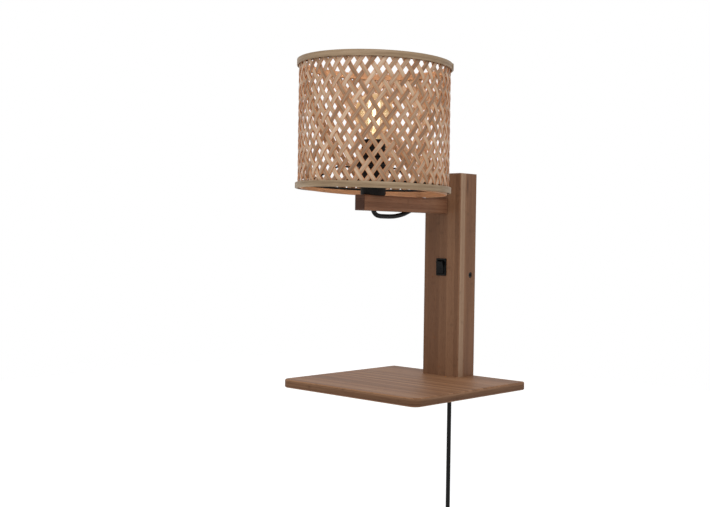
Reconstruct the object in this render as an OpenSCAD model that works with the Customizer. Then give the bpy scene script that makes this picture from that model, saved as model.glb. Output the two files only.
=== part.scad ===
// Wall lamp with shelf: a bamboo post with an arm, a woven drum shade and a small shelf.
// The wall is the plane y = 0, the lamp stands out towards -Y, and +Z is up.
// The origin is the middle of the wall bracket, half way up the post.

/* [Post] */
// Width of the post across the wall
post_w = 56; // [54:1:64]
// Depth of the post, from the wall to its front
post_d = 33; // [32:0.5:42]
// Height of the post
post_h = 252; // [235:1:320]
// Thickness of the bamboo board of the post
board_t = 10; // [8:0.5:11]
// Width of the eased outer edges of the boards
edge_ease = 0.8; // [0.3:0.1:1.5]
// Diameter of the drilled ways for the leads
lead_way_d = 6.6; // [6.5:0.1:7.2]

/* [Shelf] */
// Width of the shelf
shelf_w = 210; // [160:1:300]
// Depth of the shelf, from the wall
shelf_d = 205; // [120:1:260]
// Thickness of the shelf
shelf_t = 10; // [9:0.5:16]
// Radius of the front corners
shelf_front_r = 10; // [6:1:40]
// Radius of the back corners
shelf_back_r = 3; // [2:0.5:6]
// Width of the eased edges of the shelf
shelf_ease = 1.2; // [0.5:0.1:2]
// Distance of the lead's hole from the wall
lead_hole_y = 13; // [12:0.5:15]

/* [Arm] */
// Width of the arm
arm_w = 15; // [14:0.5:20]
// Height of the arm
arm_h = 18; // [17:0.5:26]
// How far the arm runs on past the shade's axis
arm_over = 23; // [20:1:60]
// Height of the post above the arm
arm_drop = 32; // [20:1:50]
// Height of the drilled way above the underside of the arm
arm_way_h = 5.6; // [5.5:0.1:5.8]

/* [Shade] */
// Outside diameter of the hoops
shade_d = 180; // [170:1:200]
// Height of the shade
shade_h = 150; // [130:1:200]
// Distance of the shade's axis from the wall
shade_y = 162; // [150:1:170]
// Gap between the arm and the bottom hoop
shade_lift = 3; // [2:0.5:8]
// Height of the hoops
hoop_h = 7; // [5:0.5:10]
// Thickness of the outer hoops
outer_hoop_t = 1.4; // [1:0.1:2]
// Thickness of the inner hoops
inner_hoop_t = 1.6; // [1:0.1:2.5]
// Number of splints each way
splints = 43; // [30:1:46]
// Width of a splint
splint_w = 5.5; // [4:0.1:6]
// Thickness of a splint
splint_t = 0.6; // [0.4:0.05:0.7]
// Number of rows between the first crossings and the last
weave_rows = 15; // [12:1:18]
// Height of the first crossings above the bottom edge
first_row_h = 4.95; // [4.5:0.05:7]
// Depth of the last crossings below the top edge
last_row_drop = 3.3; // [3.3:0.05:6]
// Direction of the first opening, in degrees from +X
first_opening = -50.1; // [-60:0.1:-40]
// Lean of the weave in degrees for each row, as the hand left it
weave_lean = 0.285; // [0:0.005:0.5]

/* [Spider] */
// Diameter of the spider's wire
wire_d = 2.4; // [1.8:0.1:3]
// Outside diameter of the spider's middle ring
spider_ring_d = 40; // [38:1:50]
// Thickness of the spider's middle ring
spider_ring_t = 2; // [1.8:0.1:2.2]
// Diameter of the spider's spokes
spoke_d = 2.2; // [2:0.1:2.2]
// Radius at which the spokes turn down
spoke_knee_r = 45; // [30:1:60]

/* [Lampholder] */
// Outside diameter of the lampholder
holder_d = 29.4; // [28.8:0.1:32]
// Height of the lampholder's cap
holder_cap_h = 18; // [17:0.5:20]
// Height of the lampholder's shoulder above the arm
holder_shoulder_h = 32; // [28:0.5:40]
// Height of the lampholder
holder_h = 64; // [60:0.5:75]
// Diameter of the lampholder's thread
holder_thread_d = 27.6; // [27:0.1:28]
// Thickness of the lampholder's flange
holder_flange_t = 2; // [1.5:0.1:3]
// Outside diameter of the shade ring nut
ring_nut_d = 40; // [36:0.5:46]
// Height of the shade ring nut
ring_nut_h = 8; // [5:0.5:12]
// Outside diameter of the threaded nipple
nipple_d = 10; // [9.6:0.1:10.2]

/* [Bulb] */
// Diameter of the bulb
bulb_d = 45; // [40:1:48]
// Height of the glass above the lampholder
bulb_rise = 54; // [50:0.5:66]
// Diameter of the bulb's screw cap
bulb_cap_d = 13.9; // [13.7:0.1:14.1]
// Wall of the bulb's glass
glass_t = 0.7; // [0.5:0.1:1.2]

/* [Switch] */
// Height of the switch above the lock screws
switch_z = 9.5; // [7:0.5:20]
// Width of the switch's bezel
bezel_w = 15.4; // [15:0.1:18]
// Height of the switch's bezel
bezel_h = 21.4; // [21:0.1:24]
// Thickness of the switch's bezel
bezel_t = 1.6; // [1.2:0.1:2]
// Tilt of the rocker to each side of its middle, in degrees
rocker_tilt = 10; // [7:1:12]

/* [Wall bracket] */
// Height of the bracket's back plate
bracket_h = 60; // [52:1:80]
// Thickness of the bracket's steel
bracket_t = 1.5; // [1.2:0.1:2]
// Distance between the two wall screws
wall_screw_gap = 40; // [34:1:44]
// Diameter of the wall screw holes
wall_hole_d = 4.5; // [4:0.1:6]
// Distance of the lock screws from the wall
lock_y = 10.5; // [9:0.5:11.5]
// Diameter of the lock screws' heads
lock_head_d = 7; // [6.4:0.1:7.4]

/* [Mains lead] */
// Diameter of the leads
lead_d = 5.4; // [5:0.1:5.6]
// Radius of the coil's innermost turn
coil_inner_r = 20; // [18:0.5:26]
// Distance from one turn of the coil to the next
coil_pitch = 5.95; // [5.9:0.05:7]
// Height of the coil's middle
coil_z = -350; // [-380:1:-340]

/* [Hidden] */

$fn = 64;
eps = 0.01;      // a cut runs this far past a face
fit = 0.05;      // gap of a part that is pushed or screwed into its seat
slack = 0.3;     // gap of a part that drops into its place

bamboo = "#8a6548";
bamboo_pale = "#ad8a68";
splint_tan = "#c49b74";
black = "#1c1b1b";
steel = "#b9bcc0";
brass = "#c9a24e";

// ---- Heights and places that follow from the sizes above ----
post_top = post_h / 2;
post_foot = -post_h / 2;
cavity_w = post_w - 2 * board_t;
board_back = -(post_d - board_t);          // back face of the front board
shelf_foot = post_foot - shelf_t;
arm_top = post_top - arm_drop;
arm_foot = arm_top - arm_h;
arm_way_z = arm_foot + arm_way_h;
arm_screw_z = arm_top - 4.5;
arm_screw_x = 4;
arm_reach = shade_y + arm_over;
arm_entry_y = -100.5;                      // where the lamp lead goes back into the arm
arm_entry_slope = 20;

holder_foot = arm_top;
holder_top = holder_foot + holder_h;
holder_joint = holder_foot + holder_cap_h;
holder_shoulder = holder_foot + holder_shoulder_h;
holder_bore_d = holder_thread_d - 4.2;
shade_foot = arm_top + shade_lift;
shade_top = shade_foot + shade_h;
spider_z = holder_shoulder + spider_ring_t / 2;
nut_foot = holder_shoulder + spider_ring_t + 0.1;
nipple_foot = arm_foot + 2;
nipple_top = holder_foot + 7;

outer_hoop_r = shade_d / 2;                // outside of the outer hoops
row_h = (shade_h - first_row_h - last_row_drop) / weave_rows;
splint_step = 360 / splints;
// A splint swings in and out of the weave's middle, so far that two splints clear each
// other by splint_gap at the corners where their edges cross
hoop_gap = 0.15;
splint_gap = 0.16;
splint_slant = atan(outer_hoop_r * splint_step * PI / 360 / row_h);
edge_share = splint_w / 2 * pow(cos(splint_slant), 2) / sin(splint_slant) / row_h;
splint_wave = (splint_t + splint_gap) / 2 / (1 - 2 * edge_share);
weave_r = outer_hoop_r - outer_hoop_t - hoop_gap - splint_t / 2 - splint_wave;
inner_hoop_r = weave_r - splint_wave - splint_t / 2 - hoop_gap;   // outside of the inner hoops
wire_ring_r = inner_hoop_r - wire_d / 2;
wire_ring_z = shade_foot + hoop_h + wire_d / 2;

bulb_foot_z = holder_top - 24;             // lowest point of the bulb's contact
bulb_top = holder_top + bulb_rise;
bulb_r = bulb_d / 2;
bulb_ball_z = bulb_top - bulb_r;

// The screws that the design is drilled for
wood_screw_r = 1.75;
wood_head_r = 3.5;
small_screw_r = 1.5;

// ---- Shapes that repeat ----

// A bar along Z whose section is w by d, with chosen long edges eased by e.
// corners lists, from the low x low y corner round anticlockwise, which edges are eased.
module eased_bar(x0, x1, y0, y1, z0, z1, e, corners = [1, 1, 1, 1]) {
    translate([0, 0, z0])
        linear_extrude(z1 - z0)
            polygon([
                [x0, y0 + e * corners[0]], [x0 + e * corners[0], y0],
                [x1 - e * corners[1], y0], [x1, y0 + e * corners[1]],
                [x1, y1 - e * corners[2]], [x1 - e * corners[2], y1],
                [x0 + e * corners[3], y1], [x0, y1 - e * corners[3]]]);
}

// A box from its low corner to its high corner
module block(lo, hi) {
    translate(lo) cube(hi - lo);
}

// A cylinder of radius r along Y, from y0 to y1
module bar_y(r, y0, y1, x = 0, z = 0) {
    translate([x, y0, z]) rotate([-90, 0, 0]) cylinder(r = r, h = y1 - y0);
}

// A cylinder of radius r along X, from x0 to x1
module bar_x(r, x0, x1, y = 0, z = 0) {
    translate([x0, y, z]) rotate([0, 90, 0]) cylinder(r = r, h = x1 - x0);
}

// A ring round Z, from radius r0 to r1 and from z0 to z1
module ring(r0, r1, z0, z1) {
    translate([0, 0, z0])
        difference() {
            cylinder(r = r1, h = z1 - z0);
            translate([0, 0, -eps]) cylinder(r = r0, h = z1 - z0 + 2 * eps);
        }
}

// A countersunk wood screw along +Z: its head's face is at z = 0
module wood_screw(length, r = wood_screw_r, head_r = wood_head_r) {
    cone_h = head_r - r;
    difference() {
        union() {
            cylinder(r1 = head_r, r2 = r, h = cone_h);
            translate([0, 0, cone_h - eps]) cylinder(r = r, h = length - cone_h - 3 + eps);
            translate([0, 0, length - 3 - eps]) cylinder(r1 = r, r2 = 0.3, h = 3 + eps);
        }
        // cross recess
        for (turn = [0, 90])
            rotate([0, 0, turn]) translate([-head_r * 0.6, -0.4, -eps])
                cube([head_r * 1.2, 0.8, 1.2]);
    }
}

// The hole that a countersunk wood screw fills
module wood_screw_hole(length, r = wood_screw_r, head_r = wood_head_r) {
    cone_h = head_r - r;
    translate([0, 0, -eps])
        cylinder(r1 = head_r + fit + eps, r2 = r + fit, h = cone_h + fit + eps);
    cylinder(r = r + fit, h = length + slack);
}

// A tube along a list of points, as one closed surface. flat is a direction that no
// stretch of the route follows, which keeps the rings from twisting.
function unit(v) = v / norm(v);
function way(route, i) =
    i == 0 ? unit(route[1] - route[0]) :
    i == len(route) - 1 ? unit(route[i] - route[i - 1]) :
    unit(unit(route[i + 1] - route[i]) + unit(route[i] - route[i - 1]));
function hoop_at(centre, ahead, r, sides, flat) =
    let (side = unit(cross(flat, ahead)), over = cross(ahead, side))
    [for (k = [0 : sides - 1])
        let (a = 360 * (k + 0.5) / sides)
        centre + r * (cos(a) * side + sin(a) * over)];
module tube(route, d, sides, flat = [1, 0, 0]) {
    n = len(route);
    points = [for (i = [0 : n - 1]) each hoop_at(route[i], way(route, i), d / 2, sides, flat)];
    walls = [for (i = [0 : n - 2], k = [0 : sides - 1], half = [0, 1])
        let (a = i * sides + k, b = i * sides + (k + 1) % sides)
        half == 0 ? [a, a + sides, b] : [b, a + sides, b + sides]];
    lids = [for (k = [1 : sides - 2]) each [
        [0, k, k + 1],
        [(n - 1) * sides, (n - 1) * sides + k + 1, (n - 1) * sides + k]]];
    polyhedron(points, concat(walls, lids), convexity = 6);
}

// ---- The wall bracket and the screws that lock the lamp on it ----

bracket_w = cavity_w - 2 * slack;
ear_reach = lock_y + 7.5;
ear_h = 24;
lock_r = 2;

module wall_bracket() {
    bend_r = bracket_t + 1;
    half = bracket_w / 2;
    color(steel) difference() {
        union() {
            // back plate, with round-cornered top and foot
            rotate([90, 0, 0]) linear_extrude(bracket_t) union() {
                square([bracket_w - 2 * bend_r, bracket_h], center = true);
                square([bracket_w - 2 * bend_r + 2 * eps, ear_h], center = true);
            }
            for (side = [-1, 1]) {
                // bend
                translate([side * (half - bend_r), -bend_r, -ear_h / 2])
                    intersection() {
                        ring(bend_r - bracket_t, bend_r, 0, ear_h);
                        translate([side > 0 ? 0 : -bend_r - 1, 0, 0]) cube([bend_r + 1, bend_r + 1, ear_h]);
                    }
                // ear
                translate([side > 0 ? half - bracket_t : -half, -ear_reach, -ear_h / 2])
                    cube([bracket_t, ear_reach - bend_r, ear_h]);
            }
        }
        for (z = [-1, 1] * wall_screw_gap / 2)
            bar_y(wall_hole_d / 2, -bracket_t - 1, 1, z = z);
        bar_x(lock_r + fit, -half - 1, half + 1, y = -lock_y);
    }
}

lock_head_h = 4;
lock_sink = 0.4;
lock_length = 9.6;

module lock_screws() {
    for (side = [-1, 1])
        color(black) translate([side * (post_w / 2 - lock_sink), -lock_y, 0]) rotate([0, -side * 90, 0])
            difference() {
                union() {
                    translate([0, 0, 0.4]) cylinder(d = lock_head_d, h = lock_head_h - 0.4);
                    cylinder(d1 = lock_head_d - 0.8, d2 = lock_head_d, h = 0.4 + eps);
                    translate([0, 0, lock_head_h - eps]) cylinder(r = lock_r, h = lock_length + eps);
                }
                // hexagon socket
                translate([0, 0, -eps]) cylinder(d = 3.4, h = 2.2, $fn = 6);
            }
}

// The way that a lock screw goes through a side board, on the side named
module lock_screw_way(side) {
    translate([side * (post_w / 2), -lock_y, 0]) rotate([0, -side * 90, 0]) {
        translate([0, 0, -eps]) cylinder(d = lock_head_d + 0.3, h = lock_head_h + lock_sink + eps);
        cylinder(r = lock_r + 0.25, h = board_t + 1);
    }
}

// ---- The post: four boards glued up as a box that is open to the wall ----

switch_cut_w = 12.8 + 2 * fit;
switch_cut_h = 18.8 + 2 * fit;
shelf_screw_length = 35;
// x and y of the four screws that hold the shelf
side_screw_x = post_w / 2 - board_t / 2;
front_screw_y = -(post_d - board_t / 2);
shelf_screw_places = [
    [-side_screw_x, -11.5], [side_screw_x, -11.5],
    [-post_w / 4, front_screw_y], [post_w / 4, front_screw_y]];

module shelf_screw_holes() {
    for (place = shelf_screw_places)
        translate([place[0], place[1], shelf_foot]) wood_screw_hole(shelf_screw_length);
}

module post_front_board() {
    half = post_w / 2;
    color(bamboo) difference() {
        intersection() {
            eased_bar(-half, half, -post_d, board_back, post_foot, post_top, edge_ease, [1, 1, 0, 0]);
            // eased top edge, seen from the side and from the front
            rotate([90, 0, 90]) eased_bar(-post_d, board_back, post_foot, post_top, -half, half,
                                          edge_ease, [0, 0, 0, 1]);
            rotate([90, 0, 0]) eased_bar(-half, half, post_foot, post_top, -board_back, post_d,
                                         edge_ease, [0, 0, 1, 1]);
        }
        // window for the switch, and the wider pocket behind it
        block([-switch_cut_w / 2, -post_d - 1, switch_z - switch_cut_h / 2],
              [switch_cut_w / 2, board_back + 1, switch_z + switch_cut_h / 2]);
        block([-switch_cut_w / 2 - 3, -post_d + 3, switch_z - switch_cut_h / 2 - 3],
              [switch_cut_w / 2 + 3, board_back + 1, switch_z + switch_cut_h / 2 + 3]);
        // way of the lamp lead, and the arm's screws
        bar_y(lead_way_d / 2, -post_d - 1, board_back + 1, z = arm_way_z);
        arm_screw_holes();
        shelf_screw_holes();
        for (x = clamp_screw_x)
            bar_y(small_screw_r + fit, board_back - 6, board_back + eps, x = x, z = clamp_z);
        for (z = block_screw_z)
            bar_y(small_screw_r + fit, board_back - 5, board_back + eps, x = block_x, z = z);
    }
}

module side_board(side) {
    half = post_w / 2;
    color(bamboo) difference() {
        intersection() {
            eased_bar(side > 0 ? half - board_t : -half, side > 0 ? half : board_t - half,
                      board_back, 0, post_foot, post_top, edge_ease,
                      side > 0 ? [0, 0, 1, 0] : [0, 0, 0, 1]);
            rotate([90, 0, 0]) eased_bar(-half, half, post_foot, post_top, 0, -board_back,
                                         edge_ease, [0, 0, 1, 1]);
        }
        lock_screw_way(side);
        shelf_screw_holes();
    }
}

module post_left_board() {
    side_board(-1);
}

module post_right_board() {
    side_board(1);
}

module post_top_block() {
    color(bamboo)
        block([-cavity_w / 2, board_back, post_top - board_t], [cavity_w / 2, 0, post_top]);
}

// ---- The shelf ----

module shelf_board() {
    half = shelf_w / 2;
    e = shelf_ease;
    rim = [[0, 0], [shelf_t, 0]];
    color(bamboo) difference() {
        translate([0, 0, shelf_foot]) union() {
            // middle, front to back
            translate([shelf_front_r - half, 0, 0]) rotate([90, 0, 90])
                linear_extrude(shelf_w - 2 * shelf_front_r) eased_section(-shelf_d, 0);
            // middle, side to side
            translate([0, -shelf_back_r, 0]) rotate([90, 0, 0])
                linear_extrude(shelf_d - shelf_front_r - shelf_back_r) eased_section(-half, half);
            // back strip, which reaches into the small back corners
            translate([shelf_back_r - half, 0, 0]) rotate([90, 0, 90])
                linear_extrude(shelf_w - 2 * shelf_back_r)
                    eased_section(-2 * shelf_front_r, 0, ease_low = 0);
            for (side = [-1, 1]) {
                translate([side * (half - shelf_front_r), shelf_front_r - shelf_d, 0])
                    corner_disc(shelf_front_r);
                translate([side * (half - shelf_back_r), -shelf_back_r, 0])
                    corner_disc(shelf_back_r);
            }
        }
        // hole for the lead's bush
        translate([0, -lead_hole_y, shelf_foot - 1]) cylinder(r = bush_r + fit, h = shelf_t + 2);
        shelf_screw_holes();
    }
}

// Section of a board from a to b, shelf_t high, with its edges eased
module eased_section(a, b, ease_low = 1) {
    e = shelf_ease;
    f = e * ease_low;
    polygon([[a + f, 0], [b - e, 0], [b, e], [b, shelf_t - e],
             [b - e, shelf_t], [a + f, shelf_t], [a, shelf_t - f], [a, f]]);
}

module corner_disc(r) {
    e = shelf_ease;
    rotate_extrude()
        polygon([[0, 0], [r - e, 0], [r, e], [r, shelf_t - e], [r - e, shelf_t], [0, shelf_t]]);
}

module shelf_screws() {
    for (place = shelf_screw_places)
        color(steel) translate([place[0], place[1], shelf_foot]) wood_screw(shelf_screw_length);
}

// ---- The arm ----

arm_screw_length = 35;

module arm() {
    half = arm_w / 2;
    e = edge_ease;
    color(bamboo) difference() {
        intersection() {
            // along the arm, from above and from the side
            rotate([90, 0, 0]) eased_bar(-half, half, arm_foot, arm_top, post_d, arm_reach, e);
            eased_bar(-half, half, -arm_reach, -post_d, arm_foot, arm_top, e, [1, 1, 0, 0]);
            rotate([90, 0, 90]) eased_bar(-arm_reach, -post_d, arm_foot, arm_top, -half, half,
                                          e, [1, 0, 0, 1]);
        }
        // bore of the nipple
        translate([0, -shade_y, arm_foot - 1]) cylinder(r = nipple_d / 2 + fit, h = arm_h + 2);
        // way of the lamp lead, drilled from the post's end and met by a slanting hole
        bar_y(lead_way_d / 2, arm_entry_y + 10, -post_d + 1, z = arm_way_z);
        arm_entry_hole();
        arm_screw_holes();
    }
}

module arm_entry_hole() {
    translate([0, arm_entry_y, arm_foot]) rotate([arm_entry_slope - 90, 0, 0])
        translate([0, 0, -12]) cylinder(r = lead_way_d / 2, h = 30);
}

module arm_screw_holes() {
    for (x = [-1, 1] * arm_screw_x)
        translate([x, board_back, arm_screw_z]) rotate([90, 0, 0]) wood_screw_hole(arm_screw_length);
}

module arm_screws() {
    for (x = [-1, 1] * arm_screw_x)
        color(steel) translate([x, board_back, arm_screw_z]) rotate([90, 0, 0])
            wood_screw(arm_screw_length);
}

// ---- The rocker switch ----

rocker_w = 9.8;
rocker_half_h = 7.6;
rocker_dip = 3;                    // how far the middle of its face stands before the pin
rocker_drum_r = 2.6;
pin_r = 1;
pin_y = -post_d - bezel_t + 2;     // the pin's axis lies 2 mm behind the bezel's face
housing_d = 14;
housing_back = -post_d + housing_d;

module switch_housing() {
    color(black) difference() {
        union() {
            // bezel, with eased front edges
            intersection() {
                rotate([90, 0, 0]) eased_bar(-bezel_w / 2, bezel_w / 2, switch_z - bezel_h / 2,
                    switch_z + bezel_h / 2, post_d, post_d + bezel_t, 0.8);
                rotate([90, 0, 90]) eased_bar(-post_d - bezel_t, -post_d, switch_z - bezel_h / 2,
                    switch_z + bezel_h / 2, -bezel_w, bezel_w, 0.4, [1, 0, 0, 1]);
                eased_bar(-bezel_w / 2, bezel_w / 2, -post_d - bezel_t, -post_d, switch_z - bezel_h,
                    switch_z + bezel_h, 0.4, [1, 1, 0, 0]);
            }
            // body
            block([-6.4, -post_d - eps, switch_z - 9.4], [6.4, housing_back, switch_z + 9.4]);
            // snap ears behind the thin front of the board
            for (side = [-1, 1])
                block([-2.5, -post_d + 3.1, switch_z + side * 9.4 - 1],
                      [2.5, -post_d + 6, switch_z + side * 9.4 + 1]);
        }
        // well that the rocker turns in
        block([-rocker_w / 2 - 0.3, -post_d - bezel_t - 1, switch_z - 8.5],
              [rocker_w / 2 + 0.3, -post_d + 5.5, switch_z + 8.5]);
        // bearing of the rocker's pin
        bar_x(pin_r + fit, -rocker_w / 2 - 1, rocker_w / 2 + 1, y = pin_y, z = switch_z);
    }
}

module rocker() {
    rise = rocker_half_h * tan(rocker_tilt);
    color(black) translate([0, pin_y, switch_z]) rotate([rocker_tilt, 0, 0]) {
        translate([-rocker_w / 2, 0, 0]) rotate([90, 0, 90]) linear_extrude(rocker_w)
            polygon([
                [0.6, -4], [-1.2, -rocker_half_h], [-rocker_dip - rise + 0.4, -rocker_half_h],
                [-rocker_dip - rise, -rocker_half_h + 0.4], [-rocker_dip, 0],
                [-rocker_dip - rise, rocker_half_h - 0.4], [-rocker_dip - rise + 0.4, rocker_half_h],
                [-1.2, rocker_half_h], [0.6, 4]]);
        bar_x(rocker_drum_r, -rocker_w / 2, rocker_w / 2);
        bar_x(pin_r, -rocker_w / 2 - 0.8, rocker_w / 2 + 0.8);
    }
}

tab_gap = 11;        // from one tab to the other
sleeve_h = 3.4;
tab_z = [switch_z - tab_gap / 2, switch_z + tab_gap / 2];

module switch_tabs() {
    for (z = tab_z)
        color(brass) block([-2.4, housing_back, z - 0.4], [2.4, housing_back + 6, z + 0.4]);
}

module tab_sleeves() {
    for (z = tab_z)
        color("#a33b2c") difference() {
            block([-3.4, housing_back + 0.5, z - sleeve_h / 2], [3.4, housing_back + 8, z + sleeve_h / 2]);
            block([-2.4 - fit, housing_back - 1, z - 0.4 - fit], [2.4 + fit, housing_back + 6 + fit, z + 0.4 + fit]);
        }
}

// ---- What the cavity of the post holds ----

block_x = min(11, cavity_w / 2 - 7);
block_z = switch_z + 25;
block_screw_z = [block_z];
block_d = 9;

module terminal_block() {
    color("#e6e2d8") difference() {
        block([block_x - 6, board_back, block_z - 8], [block_x + 6, board_back + block_d, block_z + 8]);
        // the wire's way, and the wells of the clamping screws
        translate([block_x, board_back + 5, block_z - 9]) cylinder(r = 1.6, h = 18);
        for (z = [-5, 5])
            bar_y(1.8, board_back + 5, board_back + block_d + 1, x = block_x, z = block_z + z);
        bar_y(small_screw_r + fit, board_back - 1, board_back + block_d + 1, x = block_x, z = block_z);
    }
}

module terminal_screws() {
    for (z = [-5, 5])
        color(brass) difference() {
            bar_y(1.7, board_back + 5 + core_d / 2 + fit, board_back + block_d - 0.5,
                  x = block_x, z = block_z + z);
            block([block_x - 0.3, board_back + block_d - 1.3, block_z + z - 2],
                  [block_x + 0.3, board_back + block_d, block_z + z + 2]);
        }
    // the screw that holds the block on the board
    color(steel) union() {
        bar_y(small_screw_r, board_back - 4.5, board_back + block_d, x = block_x, z = block_z);
        bar_y(2.5, board_back + block_d, board_back + block_d + 1.6, x = block_x, z = block_z);
    }
}

clamp_z = post_foot + 46;
clamp_screw_x = [-7.5, 7.5];
clamp_h = 8;
clamp_t = 7.5;

module cord_clamp() {
    color("#d9d5cb") difference() {
        block([-11, board_back, clamp_z - clamp_h / 2], [11, board_back + clamp_t, clamp_z + clamp_h / 2]);
        translate([0, board_back + lead_d / 2, clamp_z - clamp_h / 2 - 1])
            cylinder(r = lead_d / 2 + fit, h = clamp_h + 2);
        block([-lead_d / 2 - fit, board_back - 1, clamp_z - clamp_h],
              [lead_d / 2 + fit, board_back + lead_d / 2, clamp_z + clamp_h]);
        for (x = clamp_screw_x)
            bar_y(small_screw_r + fit, board_back - 1, board_back + clamp_t + 1, x = x, z = clamp_z);
    }
}

module cord_clamp_screws() {
    for (x = clamp_screw_x)
        color(steel) difference() {
            union() {
                bar_y(small_screw_r, board_back - 5.5, board_back + clamp_t, x = x, z = clamp_z);
                bar_y(2.8, board_back + clamp_t, board_back + clamp_t + 1.8, x = x, z = clamp_z);
            }
            block([x - 2, board_back + clamp_t + 1, clamp_z - 0.3],
                  [x + 2, board_back + clamp_t + 2, clamp_z + 0.3]);
        }
}

bush_r = 6;
bush_flange_r = 8.5;
bush_flange_t = 2;
bush_tail = 22;      // how far the bush reaches below the shelf

module lead_bush() {
    color(black) translate([0, -lead_hole_y, shelf_foot]) difference() {
        rotate_extrude() polygon(concat(
            [[lead_d / 2 + fit, shelf_t], [bush_r - 0.5, shelf_t], [bush_r, shelf_t - 0.5], [bush_r, 0],
             [bush_flange_r, 0], [bush_flange_r, 0.6 - bush_flange_t], [bush_flange_r - 0.6, -bush_flange_t],
             [5.6, -bush_flange_t]],
            // grooves that let the tail bend
            [for (k = [0 : 4]) each let (z = -bush_flange_t - 2 - 3.4 * k, r = 5.3 - 0.3 * k)
                [[r, z], [r - 0.7, z - 0.4], [r - 0.7, z - 1.4], [r - 0.1, z - 1.8]]],
            [[lead_d / 2 + 0.9, -bush_tail], [lead_d / 2 + fit, -bush_tail]]));
    }
}

// ---- The lampholder: it stands on the arm and carries the shade and the bulb ----

module at_shade() {
    translate([0, -shade_y, 0]) children();
}

module holder_cap() {
    r = holder_d / 2;
    color(black) at_shade() translate([0, 0, holder_foot]) rotate_extrude()
        polygon([[nipple_d / 2 + fit, 0], [r - 1, 0], [r, 1], [r, holder_cap_h - 0.4], [r - 0.4, holder_cap_h],
                 [r - 2.2, holder_cap_h], [r - 2.2, 7.5], [r - 3, 7], [nipple_d / 2 + fit, 7]]);
}

module holder_sleeve() {
    r = holder_d / 2;
    bore = holder_bore_d / 2;
    thread = holder_thread_d / 2;
    flange = r + 2.3;
    top = holder_h - holder_cap_h;
    shoulder = holder_shoulder_h - holder_cap_h;
    low = shoulder - holder_flange_t;
    color(black) at_shade() translate([0, 0, holder_joint]) rotate_extrude()
        polygon(concat(
            [[bore, 0], [r - 0.4, 0], [r, 0.4], [r, low - 1], [flange, low], [flange, shoulder],
             [thread, shoulder]],
            // rolled thread, as rings
            [for (k = [0 : 6]) each let (z = shoulder + 3 + 3.6 * k)
                [[thread, z], [thread - 0.5, z + 0.7], [thread - 0.5, z + 1.4], [thread, z + 2.1]]],
            [[thread, top - 0.6], [thread - 0.6, top], [bore, top]]));
}

insert_gap = 0.2;

module holder_insert() {
    bore = holder_bore_d / 2 - insert_gap;
    well = bulb_cap_d / 2 + 0.35;
    seat = bulb_foot_z - 1;
    color("#d8d4ca") at_shade() difference() {
        union() {
            // the flange that the sleeve holds down on the cap
            ring(0, holder_d / 2 - 2.2 - insert_gap, holder_joint - 4, holder_joint);
            ring(0, bore, holder_joint - eps, holder_top - 4);
            ring(0, 9, holder_joint - 9, holder_joint - 4 + eps);
        }
        translate([0, 0, seat]) cylinder(r = well, h = 60);
        // ways of the two cores
        for (x = [-5, 5])
            translate([x, 0, holder_joint - 10]) cylinder(r = 1.3, h = 8);
    }
}

module holder_contacts() {
    seat = bulb_foot_z - 1;
    cap_r = bulb_cap_d / 2;
    color(brass) at_shade() {
        ring(cap_r + 0.08, cap_r + 0.3, seat + 6, seat + 19);
        translate([0, 0, seat]) cylinder(r = 2.2, h = 1);
    }
}

module nipple() {
    color(brass) at_shade() ring(nipple_d / 2 - 1.3, nipple_d / 2, nipple_foot, nipple_top);
}

module shade_ring_nut() {
    notches = 24;
    r = ring_nut_d / 2;
    inner = holder_thread_d / 2 + 0.08;
    color(black) at_shade() translate([0, 0, nut_foot]) difference() {
        rotate_extrude() polygon([[inner, 0], [r, 0], [r, ring_nut_h - 3], [r - 3, ring_nut_h - 1.5],
                                  [inner + 2, ring_nut_h], [inner, ring_nut_h]]);
        // grip notches round the rim
        for (k = [0 : notches - 1])
            rotate([0, 0, 360 * k / notches]) translate([r + 0.5, 0, -eps]) cylinder(r = 1.2, h = ring_nut_h, $fn = 16);
    }
}

// ---- The shade: hoops, woven splints and the wire spider ----

// A hoop of bent bamboo from radius r0 to r1, with its edges rounded
module hoop(r0, r1, z0, e = 0.4) {
    translate([0, 0, z0]) rotate_extrude($fn = 128)
        polygon([[r0, e], [r0 + e, 0], [r1 - e, 0], [r1, e], [r1, hoop_h - e],
                 [r1 - e, hoop_h], [r0 + e, hoop_h], [r0, hoop_h - e]]);
}

// The lap where a hoop's two ends overlap: a second, tapered thickness outside it
lap_angle = 14;
lap_t = 0.9;

module hoop_lap(z0, end_direction) {
    r = outer_hoop_r;
    translate([0, 0, z0 + 0.3]) rotate([0, 0, end_direction - lap_angle])
        rotate_extrude(angle = lap_angle, $fn = 128)
            polygon([[r - 0.3, 0], [r + lap_t - 0.3, 0], [r + lap_t, 0.3], [r + lap_t, hoop_h - 0.9],
                     [r + lap_t - 0.3, hoop_h - 0.6], [r - 0.3, hoop_h - 0.6]]);
}

module shade_top_hoop() {
    color(splint_tan) at_shade() union() {
        hoop(outer_hoop_r - outer_hoop_t, outer_hoop_r, shade_top - hoop_h);
        hoop_lap(shade_top - hoop_h, 45);
    }
}

module shade_bottom_hoop() {
    color(splint_tan) at_shade() union() {
        hoop(outer_hoop_r - outer_hoop_t, outer_hoop_r, shade_foot);
        hoop_lap(shade_foot, 228);
    }
}

module shade_top_inner_hoop() {
    color(splint_tan) at_shade() hoop(inner_hoop_r - inner_hoop_t, inner_hoop_r, shade_top - hoop_h);
}

module shade_bottom_inner_hoop() {
    color(splint_tan) at_shade() hoop(inner_hoop_r - inner_hoop_t, inner_hoop_r, shade_foot);
}

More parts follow.
